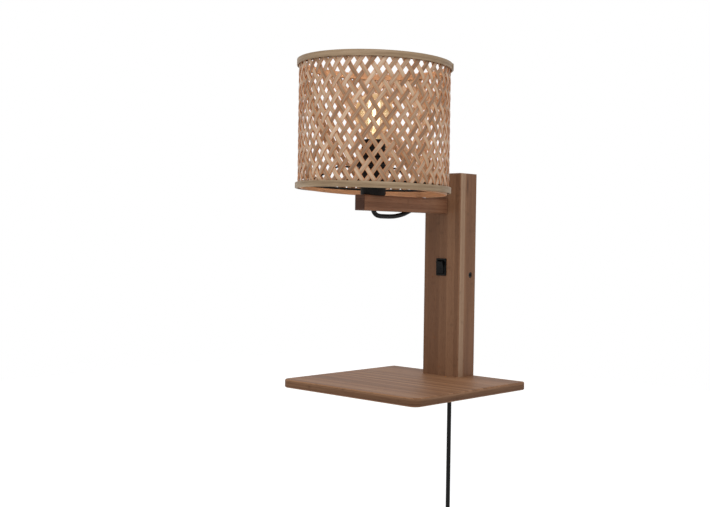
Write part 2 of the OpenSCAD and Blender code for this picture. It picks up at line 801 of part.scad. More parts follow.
// The splints climb round the drum both ways and cross once in each row, passing over
// and under in turn. Rows count from the first row of openings.
splint_end = 1.2;      // how far the splints stop inside the shade's edges
row_low = (splint_end - first_row_h) / row_h;
row_high = weave_rows + (last_row_drop - splint_end) / row_h;
rows = concat([row_low], [for (k = [0 : weave_rows]) k], [row_high]);

function splint_direction(index, turn, row) =
    first_opening + weave_lean * row + splint_step * (index + 0.5 + turn * row / 2);
// Over at one crossing and under at the next. Its ends stay where the last crossing left them.
function splint_radius(turn, row) =
    let (crossing = min(max(row, 0), weave_rows))
    weave_r + splint_wave * turn * (crossing % 2 == 0 ? 1 : -1);

// The four corners of a splint's section at a row. Its width lies along the drum's surface,
// square to the splint, but level where the splint is cut at its ends.
function splint_corners(index, turn, row) =
    let (a = splint_direction(index, turn, row),
         r = splint_radius(turn, row),
         rise = row_h,
         run = turn * weave_r * (splint_step / 2 + turn * weave_lean) * PI / 180,
         slope = norm([rise, run]),
         outward = [cos(a), sin(a), 0],
         along = [-sin(a), cos(a), 0],
         z = shade_foot + first_row_h + row * row_h,
         centre = [r * cos(a), r * sin(a) - shade_y, z],
         cut = row == row_low || row == row_high,
         across = cut ? along * slope / rise : (along * rise - [0, 0, 1] * run) / slope)
    [for (c = [[-1, -1], [-1, 1], [1, 1], [1, -1]])
        centre + across * c[0] * splint_w / 2 + outward * c[1] * splint_t / 2];

module splint(index, turn) {
    n = len(rows);
    points = [for (row = rows) each splint_corners(index, turn, row)];
    // its inner and outer faces fold along the same diagonal, the one that stands out
    walls = [for (i = [0 : n - 2], k = [0 : 3], half = [0, 1])
        let (a = i * 4 + k, b = i * 4 + (k + 1) % 4, fold = (k == 3 ? -turn : turn) > 0)
        fold ? (half == 0 ? [a, a + 4, b] : [b, a + 4, b + 4])
             : (half == 0 ? [a, a + 4, b + 4] : [a, b + 4, b])];
    last = 4 * (n - 1);
    lids = [[0, 1, 2], [0, 2, 3], [last, last + 2, last + 1], [last, last + 3, last + 2]];
    polyhedron(points, concat(walls, lids), convexity = 4);
}

module shade_splints_left() {
    color(splint_tan) for (index = [0 : splints - 1]) splint(index, 1);
}

module shade_splints_right() {
    color("#b98c64") for (index = [0 : splints - 1]) splint(index, -1);
}

module shade_spider() {
    wire_r = wire_d / 2;
    spoke_r = spoke_d / 2;
    seat_r = holder_thread_d / 2 + slack;
    fall = spider_z - wire_ring_z;
    run = wire_ring_r - spoke_knee_r;
    fall_angle = atan2(fall, run);
    bend = 6;                                  // radius of the spokes' bend
    reach = bend * tan(fall_angle / 2);        // from the knee to the bend's ends
    lap = 0.3;                                 // the straight stretches run this far into the bend
    color(black) at_shade() union() {
        // middle ring, which lies on the lampholder's flange
        ring(seat_r, spider_ring_d / 2, holder_shoulder, holder_shoulder + spider_ring_t);
        // ring of wire that stands on the bottom inner hoop
        translate([0, 0, wire_ring_z]) rotate_extrude($fn = 128) translate([wire_ring_r, 0]) circle(r = wire_r, $fn = 24);
        for (direction = [90, 210, 330]) rotate([0, 0, direction]) {
            translate([0, 0, spider_z]) {
                bar_x(spoke_r, spider_ring_d / 2 - 1.5, spoke_knee_r - reach + lap);
                translate([spoke_knee_r - reach, 0, -bend]) rotate([-90, 0, 0])
                    rotate([0, 0, -90]) rotate_extrude(angle = fall_angle)
                        translate([bend, 0]) circle(r = spoke_r + 0.06, $fn = 32);
                translate([spoke_knee_r, 0, 0]) rotate([0, 90 + fall_angle, 0])
                    translate([0, 0, reach - lap]) cylinder(r = spoke_r, h = norm([fall, run]) - reach + lap);
            }
        }
    }
}

// ---- The bulb ----

neck_r = bulb_cap_d / 2 - 0.55;
neck_depth = 4;       // how deep the neck sits in the cap
neck_fillet = 8;
ball_to_fillet = bulb_r + neck_fillet;
fillet_x = neck_r + neck_fillet;
fillet_z = bulb_ball_z - sqrt(ball_to_fillet * ball_to_fillet - fillet_x * fillet_x);
fillet_angle = asin((bulb_ball_z - fillet_z) / ball_to_fillet);   // where the ball takes over

// Outline of the glass, t inside its outer face, from the foot of the neck to the top
function glass_outline(t) = concat(
    [[neck_r - t, holder_top - neck_depth]],
    [for (k = [0 : 6]) let (a = 180 - (180 - (180 - fillet_angle)) * k / 6)
        [fillet_x + (neck_fillet + t) * cos(a), fillet_z + (neck_fillet + t) * sin(a)]],
    [for (k = [1 : 18]) let (a = -fillet_angle + (90 + fillet_angle) * k / 18)
        [(bulb_r - t) * cos(a), bulb_ball_z + (bulb_r - t) * sin(a)]]);
function reversed(list) = [for (k = [len(list) - 1 : -1 : 0]) list[k]];

module bulb_glass() {
    color("#f0c070", 0.5) at_shade() rotate_extrude()
        polygon(concat(glass_outline(0), reversed(glass_outline(glass_t))));
}

module bulb_cap() {
    r = bulb_cap_d / 2;
    foot = bulb_foot_z + 5;
    color(steel) at_shade() rotate_extrude()
        polygon(concat(
            [[r - 1.8, foot], [r - 0.5, foot + 0.8]],
            // rolled thread, as rings
            [for (k = [0 : 3]) each let (z = foot + 1.6 + 2.8 * k)
                [[r, z], [r, z + 0.5], [r - 0.6, z + 1.4], [r - 0.6, z + 1.9]]],
            [[r - 0.25, holder_top - neck_depth - 1.6], [r - 0.25, holder_top], [neck_r + fit, holder_top],
             [neck_r + fit, holder_top - neck_depth - fit], [r - 1.2, holder_top - neck_depth - 1.4],
             [r - 1.2, foot + 1.2], [r - 2.2, foot + 0.6], [r - 2.2, foot]]));
}

module bulb_insulator() {
    r = bulb_cap_d / 2;
    foot = bulb_foot_z + 5;
    color(black) at_shade() rotate_extrude()
        polygon([[0, foot - 3.2], [2.6, foot - 3.2], [r - 1.9, foot - 0.02], [r - 2.3, foot - 0.02],
                 [r - 2.3, foot + 0.5], [0, foot + 0.5]]);
}

module bulb_foot() {
    color(steel) at_shade() rotate_extrude()
        polygon([[0, bulb_foot_z + fit], [1.6, bulb_foot_z + fit], [2.4, bulb_foot_z + 0.8],
                 [2.4, bulb_foot_z + 1.8], [0, bulb_foot_z + 1.8]]);
}

stem_top = holder_top + 13;

module bulb_stem() {
    color("#e8e4dc", 0.6) at_shade() rotate_extrude()
        polygon([[0, holder_top - neck_depth], [neck_r - glass_t - fit, holder_top - neck_depth],
                 [neck_r - glass_t - fit, holder_top - neck_depth + 0.8], [2.4, holder_top + 2],
                 [2.0, stem_top - 1.5], [1.2, stem_top], [0, stem_top]]);
}

module bulb_filaments() {
    stick_r = 1.5;
    low_r = 3.4;
    high_r = 6;
    low_z = stem_top + 1;
    high_z = bulb_top - 8;
    lean = atan2(high_r - low_r, high_z - low_z);
    color("#ffe9b0") at_shade() {
        // supports: a post from the stem, with a star of arms at its foot and head
        translate([0, 0, stem_top]) cylinder(r = 0.5, h = high_z - stem_top + 0.5);
        for (direction = [45 : 90 : 315]) rotate([0, 0, direction]) {
            translate([low_r, 0, low_z]) rotate([0, lean, 0])
                cylinder(r = stick_r, h = norm([high_r - low_r, high_z - low_z]));
            bar_x(0.35, 0, low_r, z = low_z + 0.6);
            bar_x(0.35, 0, high_r, z = high_z - 0.6);
        }
    }
}

// ---- Leads. Their routes are points chosen by hand, about two diameters apart. ----

// The lamp lead: out of the lampholder through the nipple, a loop under the arm, back into
// the arm and through it into the post
lead_loop = [[-0.4, 16], [-0.4, 8], [0.4, 2], [2.6, -2], [6.4, -4.6], [12, -5.8], [20, -6]];
lead_rise = [[-31, -5.9], [-20.5, -5.1], [-8.5, -2.8], [0.5, 0.2], [8.5, 3.2], [14.5, 4.9], [21.5, 5.6]];
lead_turn = [[4, -0.4], [9, -2.6], [12, -6.8], [12.6, -12], [12.6, -15], [12.6, -18]];
lamp_lead_route = concat(
    [[0, -0.4 - shade_y, holder_joint - 9.1]],
    [for (p = lead_loop) [0, p[0] - shade_y, p[1] + arm_foot]],
    [for (p = lead_rise) [0, p[0] + arm_entry_y, p[1] + arm_foot + arm_way_h - 5.6]],
    [for (y = [-66, -53, -40, -27]) [0, y, arm_way_z]],
    [for (p = lead_turn) [0, p[0] + board_back, p[1] + arm_way_z]]);
lamp_lead_end = lamp_lead_route[len(lamp_lead_route) - 1];

module lamp_lead() {
    color(black) tube(lamp_lead_route, lead_d, 10);
}

// The mains lead inside the post, from its end above the clamp down through the bush
clamp_lead_y = board_back + lead_d / 2;
lead_exit_z = shelf_foot - bush_tail;
clamp_lead_top = clamp_z + 28;
mains_inner_route = concat(
    [for (z = [28, 16, 4, -6]) [0, clamp_lead_y, clamp_z + z]],
    [[0, -19.2, clamp_z - 17], [0, -15.8, clamp_z - 28], [0, -lead_hole_y - 0.5, clamp_z - 37]],
    [for (z = [shelf_t, -2, -12, -bush_tail]) [0, -lead_hole_y, shelf_foot + z]]);

module mains_lead_inner() {
    color(black) tube(mains_inner_route, lead_d, 10);
}

// Four single cores: mains lead to switch, switch to lamp lead, mains lead to terminal
// block, terminal block to lamp lead
core_d = 2.1;
core_y = -14;
core_routes = [
    [[-1.3, clamp_lead_y, clamp_lead_top], [-1.3, clamp_lead_y, clamp_lead_top + 4],
     [-1, -18, clamp_lead_top + 12], [-0.4, -14.8, clamp_lead_top + 21], [0, core_y, clamp_lead_top + 32],
     [0, core_y, tab_z[0] - 8], [0, core_y, tab_z[0] - sleeve_h / 2]],
    [[0, core_y, tab_z[1] + sleeve_h / 2], [0, core_y, tab_z[1] + 7], [-1, core_y, tab_z[1] + 17],
     [-1.8, -13, tab_z[1] + 27], lamp_lead_end + [-1.6, -0.7, -11], lamp_lead_end + [-1.3, 0, -4],
     lamp_lead_end + [-1.3, 0, 0]],
    [[1.3, clamp_lead_y, clamp_lead_top], [1.3, clamp_lead_y, clamp_lead_top + 4],
     [4, -19.6, clamp_lead_top + 16], [9, -18.4, clamp_lead_top + 27], [block_x, board_back + 5, clamp_lead_top + 38],
     [block_x, board_back + 5, block_z - 24], [block_x, board_back + 5, block_z - 4]],
    [[block_x, board_back + 5, block_z + 4], [block_x, board_back + 5, block_z + 8],
     [block_x - 0.6, -17, block_z + 12], [8.4, -14.6, block_z + 15.6], lamp_lead_end + [4.4, -1.6, -8],
     lamp_lead_end + [1.8, -0.2, -5], lamp_lead_end + [1.3, 0, -2.4], lamp_lead_end + [1.3, 0, 0]]];

module inner_cores() {
    for (route = core_routes)
        color("#5a6f9c") tube(route, core_d, 6, [0.3, 1, 0]);
}

// The mains lead hangs straight to its coil, which starts at its left side
coil_turns = 7.75;
coil_middle = coil_turns / 2;
coil_outer_r = coil_inner_r + coil_pitch * coil_middle;
lead_hang_route = [for (z = [lead_exit_z : -11 : coil_z + 16]) [0, -lead_hole_y, z]];
mains_lead_route = concat(lead_hang_route, [[0, -lead_hole_y, coil_z + lead_d]]);

module mains_lead() {
    color(black) tube(mains_lead_route, lead_d, 10);
}

// The coil: it winds in, steps forward a layer in the half turn where it is narrowest, and
// winds out again. turn 0 is at its left, going down.
function coil_radius(turn) = coil_inner_r + coil_pitch * abs(turn - coil_middle);
function coil_layer(turn) = min(1, max(0, (turn - coil_middle) * 2 + 0.5));
function coil_point(turn) =
    let (a = 180 + 360 * turn, r = coil_radius(turn))
    [coil_outer_r + r * cos(a), -lead_hole_y - coil_pitch * coil_layer(turn), coil_z + r * sin(a)];
coil_rings = 24;
coil_steps = coil_turns * coil_rings;
coil_end = coil_point(coil_turns);
coil_route = concat(
    [[0, -lead_hole_y, coil_z + lead_d]],
    [for (k = [0 : coil_steps]) coil_point(k / coil_rings)],
    [coil_end - [lead_d, 0, 0]]);

// The least distance between stretches of the coil that are not neighbours, less its diameter
coil_gap = min([for (i = [0 : 2 : len(coil_route) - 1], j = [i + 8 : len(coil_route) - 1])
    norm(coil_route[i] - coil_route[j])]) - lead_d;
echo(least_gap_in_the_coil = coil_gap);

module lead_coil() {
    color(black) tube(coil_route, lead_d, 6, [0, 1, 0]);
}

// The tie round the coil, on its right
module coil_tie() {
    lift = 0.35;
    t = 1;
    x0 = coil_outer_r + coil_inner_r - lead_d / 2 - lift;
    x1 = coil_outer_r * 2 + lead_d / 2 + lift;
    y0 = -lead_hole_y - coil_pitch - lead_d / 2 - lift;
    y1 = -lead_hole_y + lead_d / 2 + lift;
    color("#2b2a2a") translate([0, 0, coil_z - 5]) linear_extrude(10) difference() {
        hull() for (x = [x0 + 2, x1 - 2], y = [y0 + 2, y1 - 2])
            translate([x, y]) circle(r = 2 + t);
        hull() for (x = [x0 + 2, x1 - 2], y = [y0 + 2, y1 - 2])
            translate([x, y]) circle(r = 2);
    }
}

// The tail bends down beside the coil to the plug
tail_y = -lead_hole_y - coil_pitch;
tail_top = coil_z + coil_outer_r;
plug_x = -27;
plug_z = coil_z + 12;          // where the lead enters the plug
lead_tail_route = [
    coil_end - [lead_d, 0, 0], [26, tail_y, tail_top], [14, tail_y, tail_top], [2, tail_y, tail_top],
    [-8, tail_y, tail_top - 1.6], [-16.5, tail_y, tail_top - 6.4], [-22.6, tail_y, tail_top - 13],
    [-26, tail_y, tail_top - 20], [plug_x, tail_y, tail_top - 26], [plug_x, tail_y, plug_z]];

module lead_tail() {
    color(black) tube(lead_tail_route, lead_d, 10, [0, 1, 0]);
}

// A flat two-pin plug
plug_w = 35;
plug_t = 13.6;
plug_h = 30;
neck_h = 14;
pin_gap = 18.6;

module plug_body() {
    color(black) translate([plug_x, tail_y, plug_z]) rotate([180, 0, 0]) difference() {
        union() {
            // ribbed neck that carries the lead
            rotate_extrude() polygon(concat(
                [[0, 0], [3.6, 0]],
                [for (k = [0 : 3]) each let (z = 1.6 + 2.8 * k)
                    [[3.7 + 0.3 * k, z], [3.2 + 0.3 * k, z + 0.3], [3.2 + 0.3 * k, z + 1.3], [3.9 + 0.3 * k, z + 1.6]]],
                [[5.2, neck_h], [0, neck_h]]));
            // flat body that widens to the pins
            intersection() {
                translate([0, plug_t / 2, 0]) rotate([90, 0, 0]) linear_extrude(plug_t)
                    polygon([[-6, neck_h - 2], [6, neck_h - 2], [plug_w / 2 - 3, neck_h + 9],
                             [plug_w / 2, neck_h + 14], [plug_w / 2, neck_h + plug_h - 2],
                             [plug_w / 2 - 2, neck_h + plug_h], [2 - plug_w / 2, neck_h + plug_h],
                             [-plug_w / 2, neck_h + plug_h - 2], [-plug_w / 2, neck_h + 14],
                             [3 - plug_w / 2, neck_h + 9]]);
                // rounded sides, seen along the pins
                linear_extrude(neck_h + plug_h) union() {
                    square([plug_w - plug_t, plug_t], center = true);
                    for (side = [-1, 1])
                        translate([side * (plug_w - plug_t) / 2, 0]) circle(d = plug_t);
                }
            }
        }
        for (x = [-1, 1] * pin_gap / 2)
            translate([x, 0, neck_h + plug_h - 8]) cylinder(r = 2 + fit, h = 9);
    }
}

module plug_pins() {
    for (x = [-1, 1] * pin_gap / 2)
        color(steel) translate([plug_x + x, tail_y, plug_z - neck_h - plug_h + 8]) rotate([180, 0, 0]) {
            cylinder(r = 2, h = 25);
            translate([0, 0, 25 - eps]) cylinder(r1 = 2, r2 = 0.8, h = 2);
        }
}

// ---- One line for each sub-part ----
wall_bracket();
lock_screws();
post_front_board();
post_left_board();
post_right_board();
post_top_block();
shelf_board();
shelf_screws();
arm();
arm_screws();
switch_housing();
rocker();
switch_tabs();
tab_sleeves();
terminal_block();
terminal_screws();
cord_clamp();
cord_clamp_screws();
lead_bush();
holder_cap();
holder_sleeve();
holder_insert();
holder_contacts();
nipple();
shade_ring_nut();
shade_spider();
shade_splints_left();
shade_splints_right();
shade_top_hoop();
shade_bottom_hoop();
shade_top_inner_hoop();
shade_bottom_inner_hoop();
bulb_glass();
bulb_cap();
bulb_insulator();
bulb_foot();
bulb_stem();
bulb_filaments();
lamp_lead();
inner_cores();
mains_lead_inner();
mains_lead();
lead_coil();
coil_tie();
lead_tail();
plug_body();
plug_pins();
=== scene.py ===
import math

import bpy
import numpy as np
from mathutils import Matrix, Vector


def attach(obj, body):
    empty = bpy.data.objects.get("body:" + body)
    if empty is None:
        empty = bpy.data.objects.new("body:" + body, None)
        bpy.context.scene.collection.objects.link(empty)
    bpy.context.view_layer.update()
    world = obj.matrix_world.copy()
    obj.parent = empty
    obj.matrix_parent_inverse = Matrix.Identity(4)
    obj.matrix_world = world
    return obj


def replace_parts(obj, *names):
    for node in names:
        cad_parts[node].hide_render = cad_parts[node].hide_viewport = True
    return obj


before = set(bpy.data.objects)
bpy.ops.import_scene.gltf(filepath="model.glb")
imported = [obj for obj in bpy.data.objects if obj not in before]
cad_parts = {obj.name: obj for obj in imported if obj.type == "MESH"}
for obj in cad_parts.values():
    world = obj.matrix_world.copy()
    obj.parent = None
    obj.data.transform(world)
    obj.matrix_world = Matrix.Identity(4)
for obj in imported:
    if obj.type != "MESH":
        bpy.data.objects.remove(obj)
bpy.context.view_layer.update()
mm = 0.001

# ---- Camera ----
# The lamp is seen from the room's right, nearly level, from about 1.3 m away.
# The camera leans by less than a degree, as the photograph does.
view_azimuth = math.radians(43.258)
view_pitch = math.radians(0.883)
view_roll = math.radians(0.821)
forward = Vector((-math.sin(view_azimuth) * math.cos(view_pitch),
                  math.cos(view_azimuth) * math.cos(view_pitch), -math.sin(view_pitch)))
rightward = Vector((math.cos(view_azimuth), math.sin(view_azimuth), 0))
upward = rightward.cross(forward)
camera_x = rightward * math.cos(view_roll) + upward * math.sin(view_roll)
camera_y = upward * math.cos(view_roll) - rightward * math.sin(view_roll)
camera = bpy.data.objects.new("camera", bpy.data.cameras.new("camera"))
bpy.context.scene.collection.objects.link(camera)
camera.data.sensor_width = 36
camera.data.lens = 53.457
camera.matrix_world = Matrix((
    (camera_x.x, camera_y.x, -forward.x, 823.25 * mm),
    (camera_x.y, camera_y.y, -forward.y, -1065.98 * mm),
    (camera_x.z, camera_y.z, -forward.z, 45.02 * mm),
    (0, 0, 0, 1)))
bpy.context.scene.camera = camera

# ---- Mains lead ----
# A round two-core lead in a black sheath, 1.8 m long. It hangs from the bush under the
# shelf, and what is spare is wound in a flat coil with a tie, with the plug beside it.
lead_r = 2.7 * mm


def linear(colour):
    """Colour as seen on screen, 0 to 255, in the renderer's linear numbers."""
    return [((c / 255 + 0.055) / 1.055) ** 2.4 if c > 10.3 else c / 255 / 12.92 for c in colour] + [1]


def finish(name, slot, roughness=0.5, colour=(128, 128, 128), shine=0.3):
    """A material of that name with one Principled shader. Its pieces take the record's slot."""
    material = bpy.data.materials.new(name)
    material.use_nodes = True
    shader = material.node_tree.nodes["Principled BSDF"]
    shader.inputs["Base Color"].default_value = linear(colour)
    shader.inputs["Roughness"].default_value = roughness
    shader.inputs["Specular IOR Level"].default_value = shine
    material["slot"] = slot
    return material


def node(material, kind, settings=None, **inputs):
    """A node of that kind. inputs are values, or outputs of other nodes to join."""
    made = material.node_tree.nodes.new("ShaderNode" + kind)
    for key, value in (settings or {}).items():
        setattr(made, key, value)
    for key, value in inputs.items():
        wanted = key.replace("_", " ")
        socket = next(s for s in made.inputs if s.name == wanted and s.enabled)
        join(material, value, socket)
    return made


def join(material, value, socket):
    """Sets a socket to a value, or joins another node's output to it."""
    if isinstance(value, bpy.types.NodeSocket):
        material.node_tree.links.new(value, socket)
    else:
        socket.default_value = value


def shader_of(material):
    """The material's Principled shader."""
    return material.node_tree.nodes["Principled BSDF"]


def ramp(material, fac, stops):
    """A colour ramp of (place, colour as seen on screen) stops."""
    made = node(material, "ValToRGB", Fac=fac)
    band = made.color_ramp
    while len(band.elements) < len(stops):
        band.elements.new(0.5)
    for element, (place, colour) in zip(band.elements, stops):
        element.position = place
        element.color = linear(colour)
    return made.outputs["Color"]


def maths(material, operation, a, b=0.0):
    """One sum on two values, or on outputs of other nodes."""
    made = node(material, "Math", {"operation": operation})
    join(material, a, made.inputs[0])
    join(material, b, made.inputs[1])
    return made.outputs[0]


def blended(material, kind, factor, a, b):
    """Colour a changed by colour b, as far as factor says."""
    made = node(material, "Mix", {"data_type": "RGBA", "blend_type": kind})
    join(material, factor, made.inputs[0])
    join(material, a, made.inputs[6])
    join(material, b, made.inputs[7])
    return made.outputs[2]


def place_in(material, scale=(1, 1, 1)):
    """The point's own place on the lamp in metres, times scale."""
    where = node(material, "TexCoord").outputs["Object"]
    return node(material, "Mapping", Vector=where, Scale=scale).outputs["Vector"]


def noise(material, where, scale, detail=3.0, roughness=0.5):
    """A soft random pattern, 0 to 1."""
    return node(material, "TexNoise", Vector=where, Scale=scale, Detail=detail,
                Roughness=roughness).outputs["Fac"]


def mottle(material, scale, detail, dark, light, light_from=0.7):
    """A base colour that wanders softly between two close shades."""
    cloud = noise(material, place_in(material), scale, detail)
    join(material, ramp(material, cloud, [(0.3, dark), (light_from, light)]),
         shader_of(material).inputs["Base Color"])


def bump(material, height, strength, depth):
    """A faint relief in the surface."""
    made = node(material, "Bump", Height=height, Strength=strength, Distance=depth)
    join(material, made.outputs["Normal"], shader_of(material).inputs["Normal"])


def piece(name, vertices, faces, material, body="lamp"):
    """A mesh that rides on a body and takes its finish from the material's slot."""
    mesh = bpy.data.meshes.new(name)
    mesh.from_pydata([tuple(v) for v in vertices], [], faces)
    mesh.update()
    mesh.materials.append(material)
    mesh.shade_smooth()
    made = bpy.data.objects.new(name, mesh)
    bpy.context.scene.collection.objects.link(made)
    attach(made, body)
    return made


def smooth_line(points, parts=4):
    """A smooth curve through the points, as parts times as many points."""
    p = np.array(points, float)
    p = np.vstack([2 * p[0] - p[1], p, 2 * p[-1] - p[-2]])
    line = []
    for a, b, c, d in zip(p, p[1:], p[2:], p[3:]):
        for t in np.arange(parts) / parts:
            line.append(0.5 * (2 * b + (c - a) * t + (2 * a - 5 * b + 4 * c - d) * t ** 2
                               + (3 * b - a - 3 * c + d) * t ** 3))
    return np.array(line + [p[-2]])


def tube(name, line, radius, material, sides=20, body="lamp"):
    """A round tube along the line, closed at both ends. radius is one, or one for each point."""
    line = np.asarray(line, float)
    radii = np.broadcast_to(radius, len(line))
    along = np.gradient(line, axis=0)
    along /= np.linalg.norm(along, axis=1)[:, None]
    side = np.cross(along[0], [0.31, 0.83, 0.46])
    vertices = []
    for centre, way, r in zip(line, along, radii):
        side = side - way * side.dot(way)
        side /= np.linalg.norm(side)
        other = np.cross(way, side)
        for k in range(sides):
            a = 2 * math.pi * k / sides
            vertices.append(centre + r * (math.cos(a) * side + math.sin(a) * other))
    faces = [(i * sides + k, i * sides + (k + 1) % sides, (i + 1) * sides + (k + 1) % sides,
              (i + 1) * sides + k) for i in range(len(line) - 1) for k in range(sides)]
    faces.append(tuple(range(sides))[::-1])
    faces.append(tuple(range((len(line) - 1) * sides, len(line) * sides)))
    return piece(name, vertices, faces, material, body)


def dress(material, *names):
    """Gives CAD nodes this material in place of their plain one."""
    for name in names:
        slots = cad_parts[name].material_slots
        for slot in slots:
            slot.material = material


# sheath: soft black plastic with a faint orange-peel skin and a little dust
sheath = finish("black lead sheath", "lead_black", 0.42, (24, 24, 25), shine=0.16)
dust = noise(sheath, place_in(sheath), 260, 4)
join(sheath, ramp(sheath, dust, [(0.3, (8, 8, 9)), (0.75, (22, 21, 21))]),
     shader_of(sheath).inputs["Base Color"])
join(sheath, maths(sheath, "ADD", maths(sheath, "MULTIPLY", dust, 0.25), 0.3),
     shader_of(sheath).inputs["Roughness"])
bump(sheath, noise(sheath, place_in(sheath), 2600, 2), 0.12, 0.0002)

lead_y, bush_foot, hang_foot = -13, -158, -344.6
hang = [(0, lead_y, z) for z in np.linspace(bush_foot, hang_foot, 24)]
# The coil winds inwards in one layer and outwards again in a second one in front of it
coil_x, coil_z, coil_r, coil_step = 43.056, -350, 20, 5.95
turns, steps_per_turn = 7.75, 32
front_y = lead_y - coil_step
coil = []
for turn in np.linspace(0, turns, int(turns * steps_per_turn) + 1):
    r = coil_r + coil_step * abs(turn - turns / 2)
    a = math.radians(180 + 360 * turn)
    layer = min(max(2 * (turn - turns / 2) + 0.5, 0), 1)
    coil.append((coil_x + r * math.cos(a), lead_y - coil_step * layer, coil_z + r * math.sin(a)))
tail = [(x, front_y, z) for x, z in (
    (coil_x - 5.4, -306.94), (26, -306.94), (14, -306.94), (2, -306.94), (-8, -308.5),
    (-16.5, -313.3), (-22.6, -319.9), (-26, -326.9), (-27, -332.9), (-27, -338))]
lead_line = np.vstack([smooth_line(hang, 2)[:-1], coil[:-1], smooth_line([coil[-1]] + tail, 4)]) * mm
mains_lead = tube("mains_lead_free", lead_line, lead_r, sheath)
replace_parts(mains_lead, "mains_lead", "lead_coil", "lead_tail")

# ---- Plug and tie ----
# A flat two-pin plug moulded in black plastic, with plain metal pins, and a black strap
# that holds the coil.
moulded = finish("black moulded plastic", "black_plastic", 0.5, (26, 26, 27), shine=0.16)
skin = noise(moulded, place_in(moulded), 900, 4)
mottle(moulded, 60, 3, (9, 8, 8), (19, 17, 16))
bump(moulded, skin, 0.15, 0.0002)
dress(moulded, "plug_body", "coil_tie")

plated = finish("plated steel", "steel", 0.3, (178, 180, 182))
shader_of(plated).inputs["Metallic"].default_value = 1
brushed = noise(plated, place_in(plated, (1, 1, 12)), 400, 4)
join(plated, ramp(plated, brushed, [(0.3, (158, 160, 163)), (0.7, (196, 197, 199))]),
     shader_of(plated).inputs["Base Color"])
bump(plated, brushed, 0.08, 0.0001)
dress(plated, "plug_pins")

# ---- Post ----
# Four boards of pressed bamboo, glued edge to edge into a channel with a block in its top,
# stained brown and waxed. Each board is made of narrow strips with their joints in it.
strip_w = 6 * mm
glue_line, knot_step, knot_band = 0.018, 0.21, 0.014
fibre_stretch = 0.045


def grain(material, along, across, tones, strip=strip_w, offset=0.0, joint=None):
    """The colour and the fibre of strips that run along one axis and lie side by side across
    another. tones are dark, middle and light. joint is where, across, a darker plank meets a
    lighter one."""
    stretched = [1.0, 1.0, 1.0]
    for axis in along:
        stretched["xyz".index(axis)] = fibre_stretch
    where = place_in(material, stretched)
    here = node(material, "SeparateXYZ", Vector=node(material, "TexCoord").outputs["Object"]).outputs
    place = maths(material, "DIVIDE", maths(material, "ADD", here["xyz".index(across)], offset), strip)
    shade = node(material, "TexWhiteNoise", {"noise_dimensions": "1D"},
                 W=maths(material, "FLOOR", place)).outputs["Value"]
    fibre = noise(material, where, 900, 4, 0.6)
    broad = noise(material, where, 150, 3, 0.55)
    blend = maths(material, "ADD", maths(material, "MULTIPLY", shade, 0.34),
                  maths(material, "ADD", maths(material, "MULTIPLY", fibre, 0.34),
                        maths(material, "MULTIPLY", broad, 0.56)))
    if joint is not None:
        lighter = maths(material, "GREATER_THAN", here["xyz".index(across)], joint)
        blend = maths(material, "ADD", blend,
                      maths(material, "MULTIPLY", 0.14, maths(material, "SUBTRACT", lighter, 0.5)))
    colour = ramp(material, blend, list(zip((0.37, 0.61, 0.85), tones)))
    # long dark vessels
    vessels = ramp(material, noise(material, where, 2600, 2, 0.5),
                   [(0.3, (196, 176, 160)), (0.42, (255, 255, 255))])
    colour = blended(material, "MULTIPLY", 0.75, colour, vessels)
    # the glue line between strips
    part = maths(material, "FRACT", place)
    from_edge = maths(material, "MINIMUM", part, maths(material, "SUBTRACT", 1.0, part))
    line = maths(material, "LESS_THAN", from_edge, glue_line)
    colour = blended(material, "MIX", maths(material, "MULTIPLY", line, 0.4), colour, linear(tones[0]))
    # joints of the cane: a short darker band across a strip, here and there
    run = maths(material, "ADD", maths(material, "DIVIDE", here["xyz".index(along[0])], knot_step),
                maths(material, "MULTIPLY", shade, 7.3))
    band = maths(material, "ABSOLUTE", maths(material, "SUBTRACT", maths(material, "FRACT", run), 0.5))
    knot = node(material, "MapRange", Value=band, From_Min=0.0, From_Max=knot_band,
                To_Min=1.0, To_Max=0.0).outputs["Result"]
    return blended(material, "MIX", maths(material, "MULTIPLY", knot, 0.3), colour,
                   linear([c * 0.74 for c in tones[0]])), fibre


def bamboo(name, facing, sides=None, looking="y", shine=0.2, mark=None):
    """Pressed bamboo: facing is the grain of the faces that look along one axis, and sides of the
    others. mark is the place of a dark knot, in metres."""
    material = finish(name, "bamboo", 0.5, shine=shine)
    colour, fibre = grain(material, *facing)
    if sides:
        normal = node(material, "TexCoord").outputs["Normal"]
        outward = node(material, "SeparateXYZ", Vector=normal).outputs["xyz".index(looking)]
        on_side = maths(material, "LESS_THAN", maths(material, "ABSOLUTE", outward), 0.6)
        colour = blended(material, "MIX", on_side, colour, grain(material, *sides)[0])
    if mark:
        away = node(material, "VectorMath", {"operation": "MULTIPLY"}).outputs["Vector"]
        join(material, node(material, "TexCoord").outputs["Object"], away.node.inputs[0])
        away.node.inputs[1].default_value = (0, 1, 0.16)
        off = node(material, "VectorMath", {"operation": "DISTANCE"}).outputs["Value"]
        join(material, away, off.node.inputs[0])
        off.node.inputs[1].default_value = (0, mark[0], mark[1] * 0.16)
        ragged = maths(material, "ADD", off, maths(material, "MULTIPLY", fibre, 0.0012))
        near = node(material, "MapRange", Value=ragged, From_Min=0.0008, From_Max=0.0034,
                    To_Min=0.75, To_Max=0.0).outputs["Result"]
        colour = blended(material, "MIX", near, colour, linear((66, 40, 27)))
    join(material, colour, shader_of(material).inputs["Base Color"])
    join(material, node(material, "MapRange", Value=fibre, From_Min=0.3, From_Max=0.7, To_Min=0.45,
                        To_Max=0.6).outputs["Result"], shader_of(material).inputs["Roughness"])
    bump(material, fibre, 0.2, 0.0002)
    return material


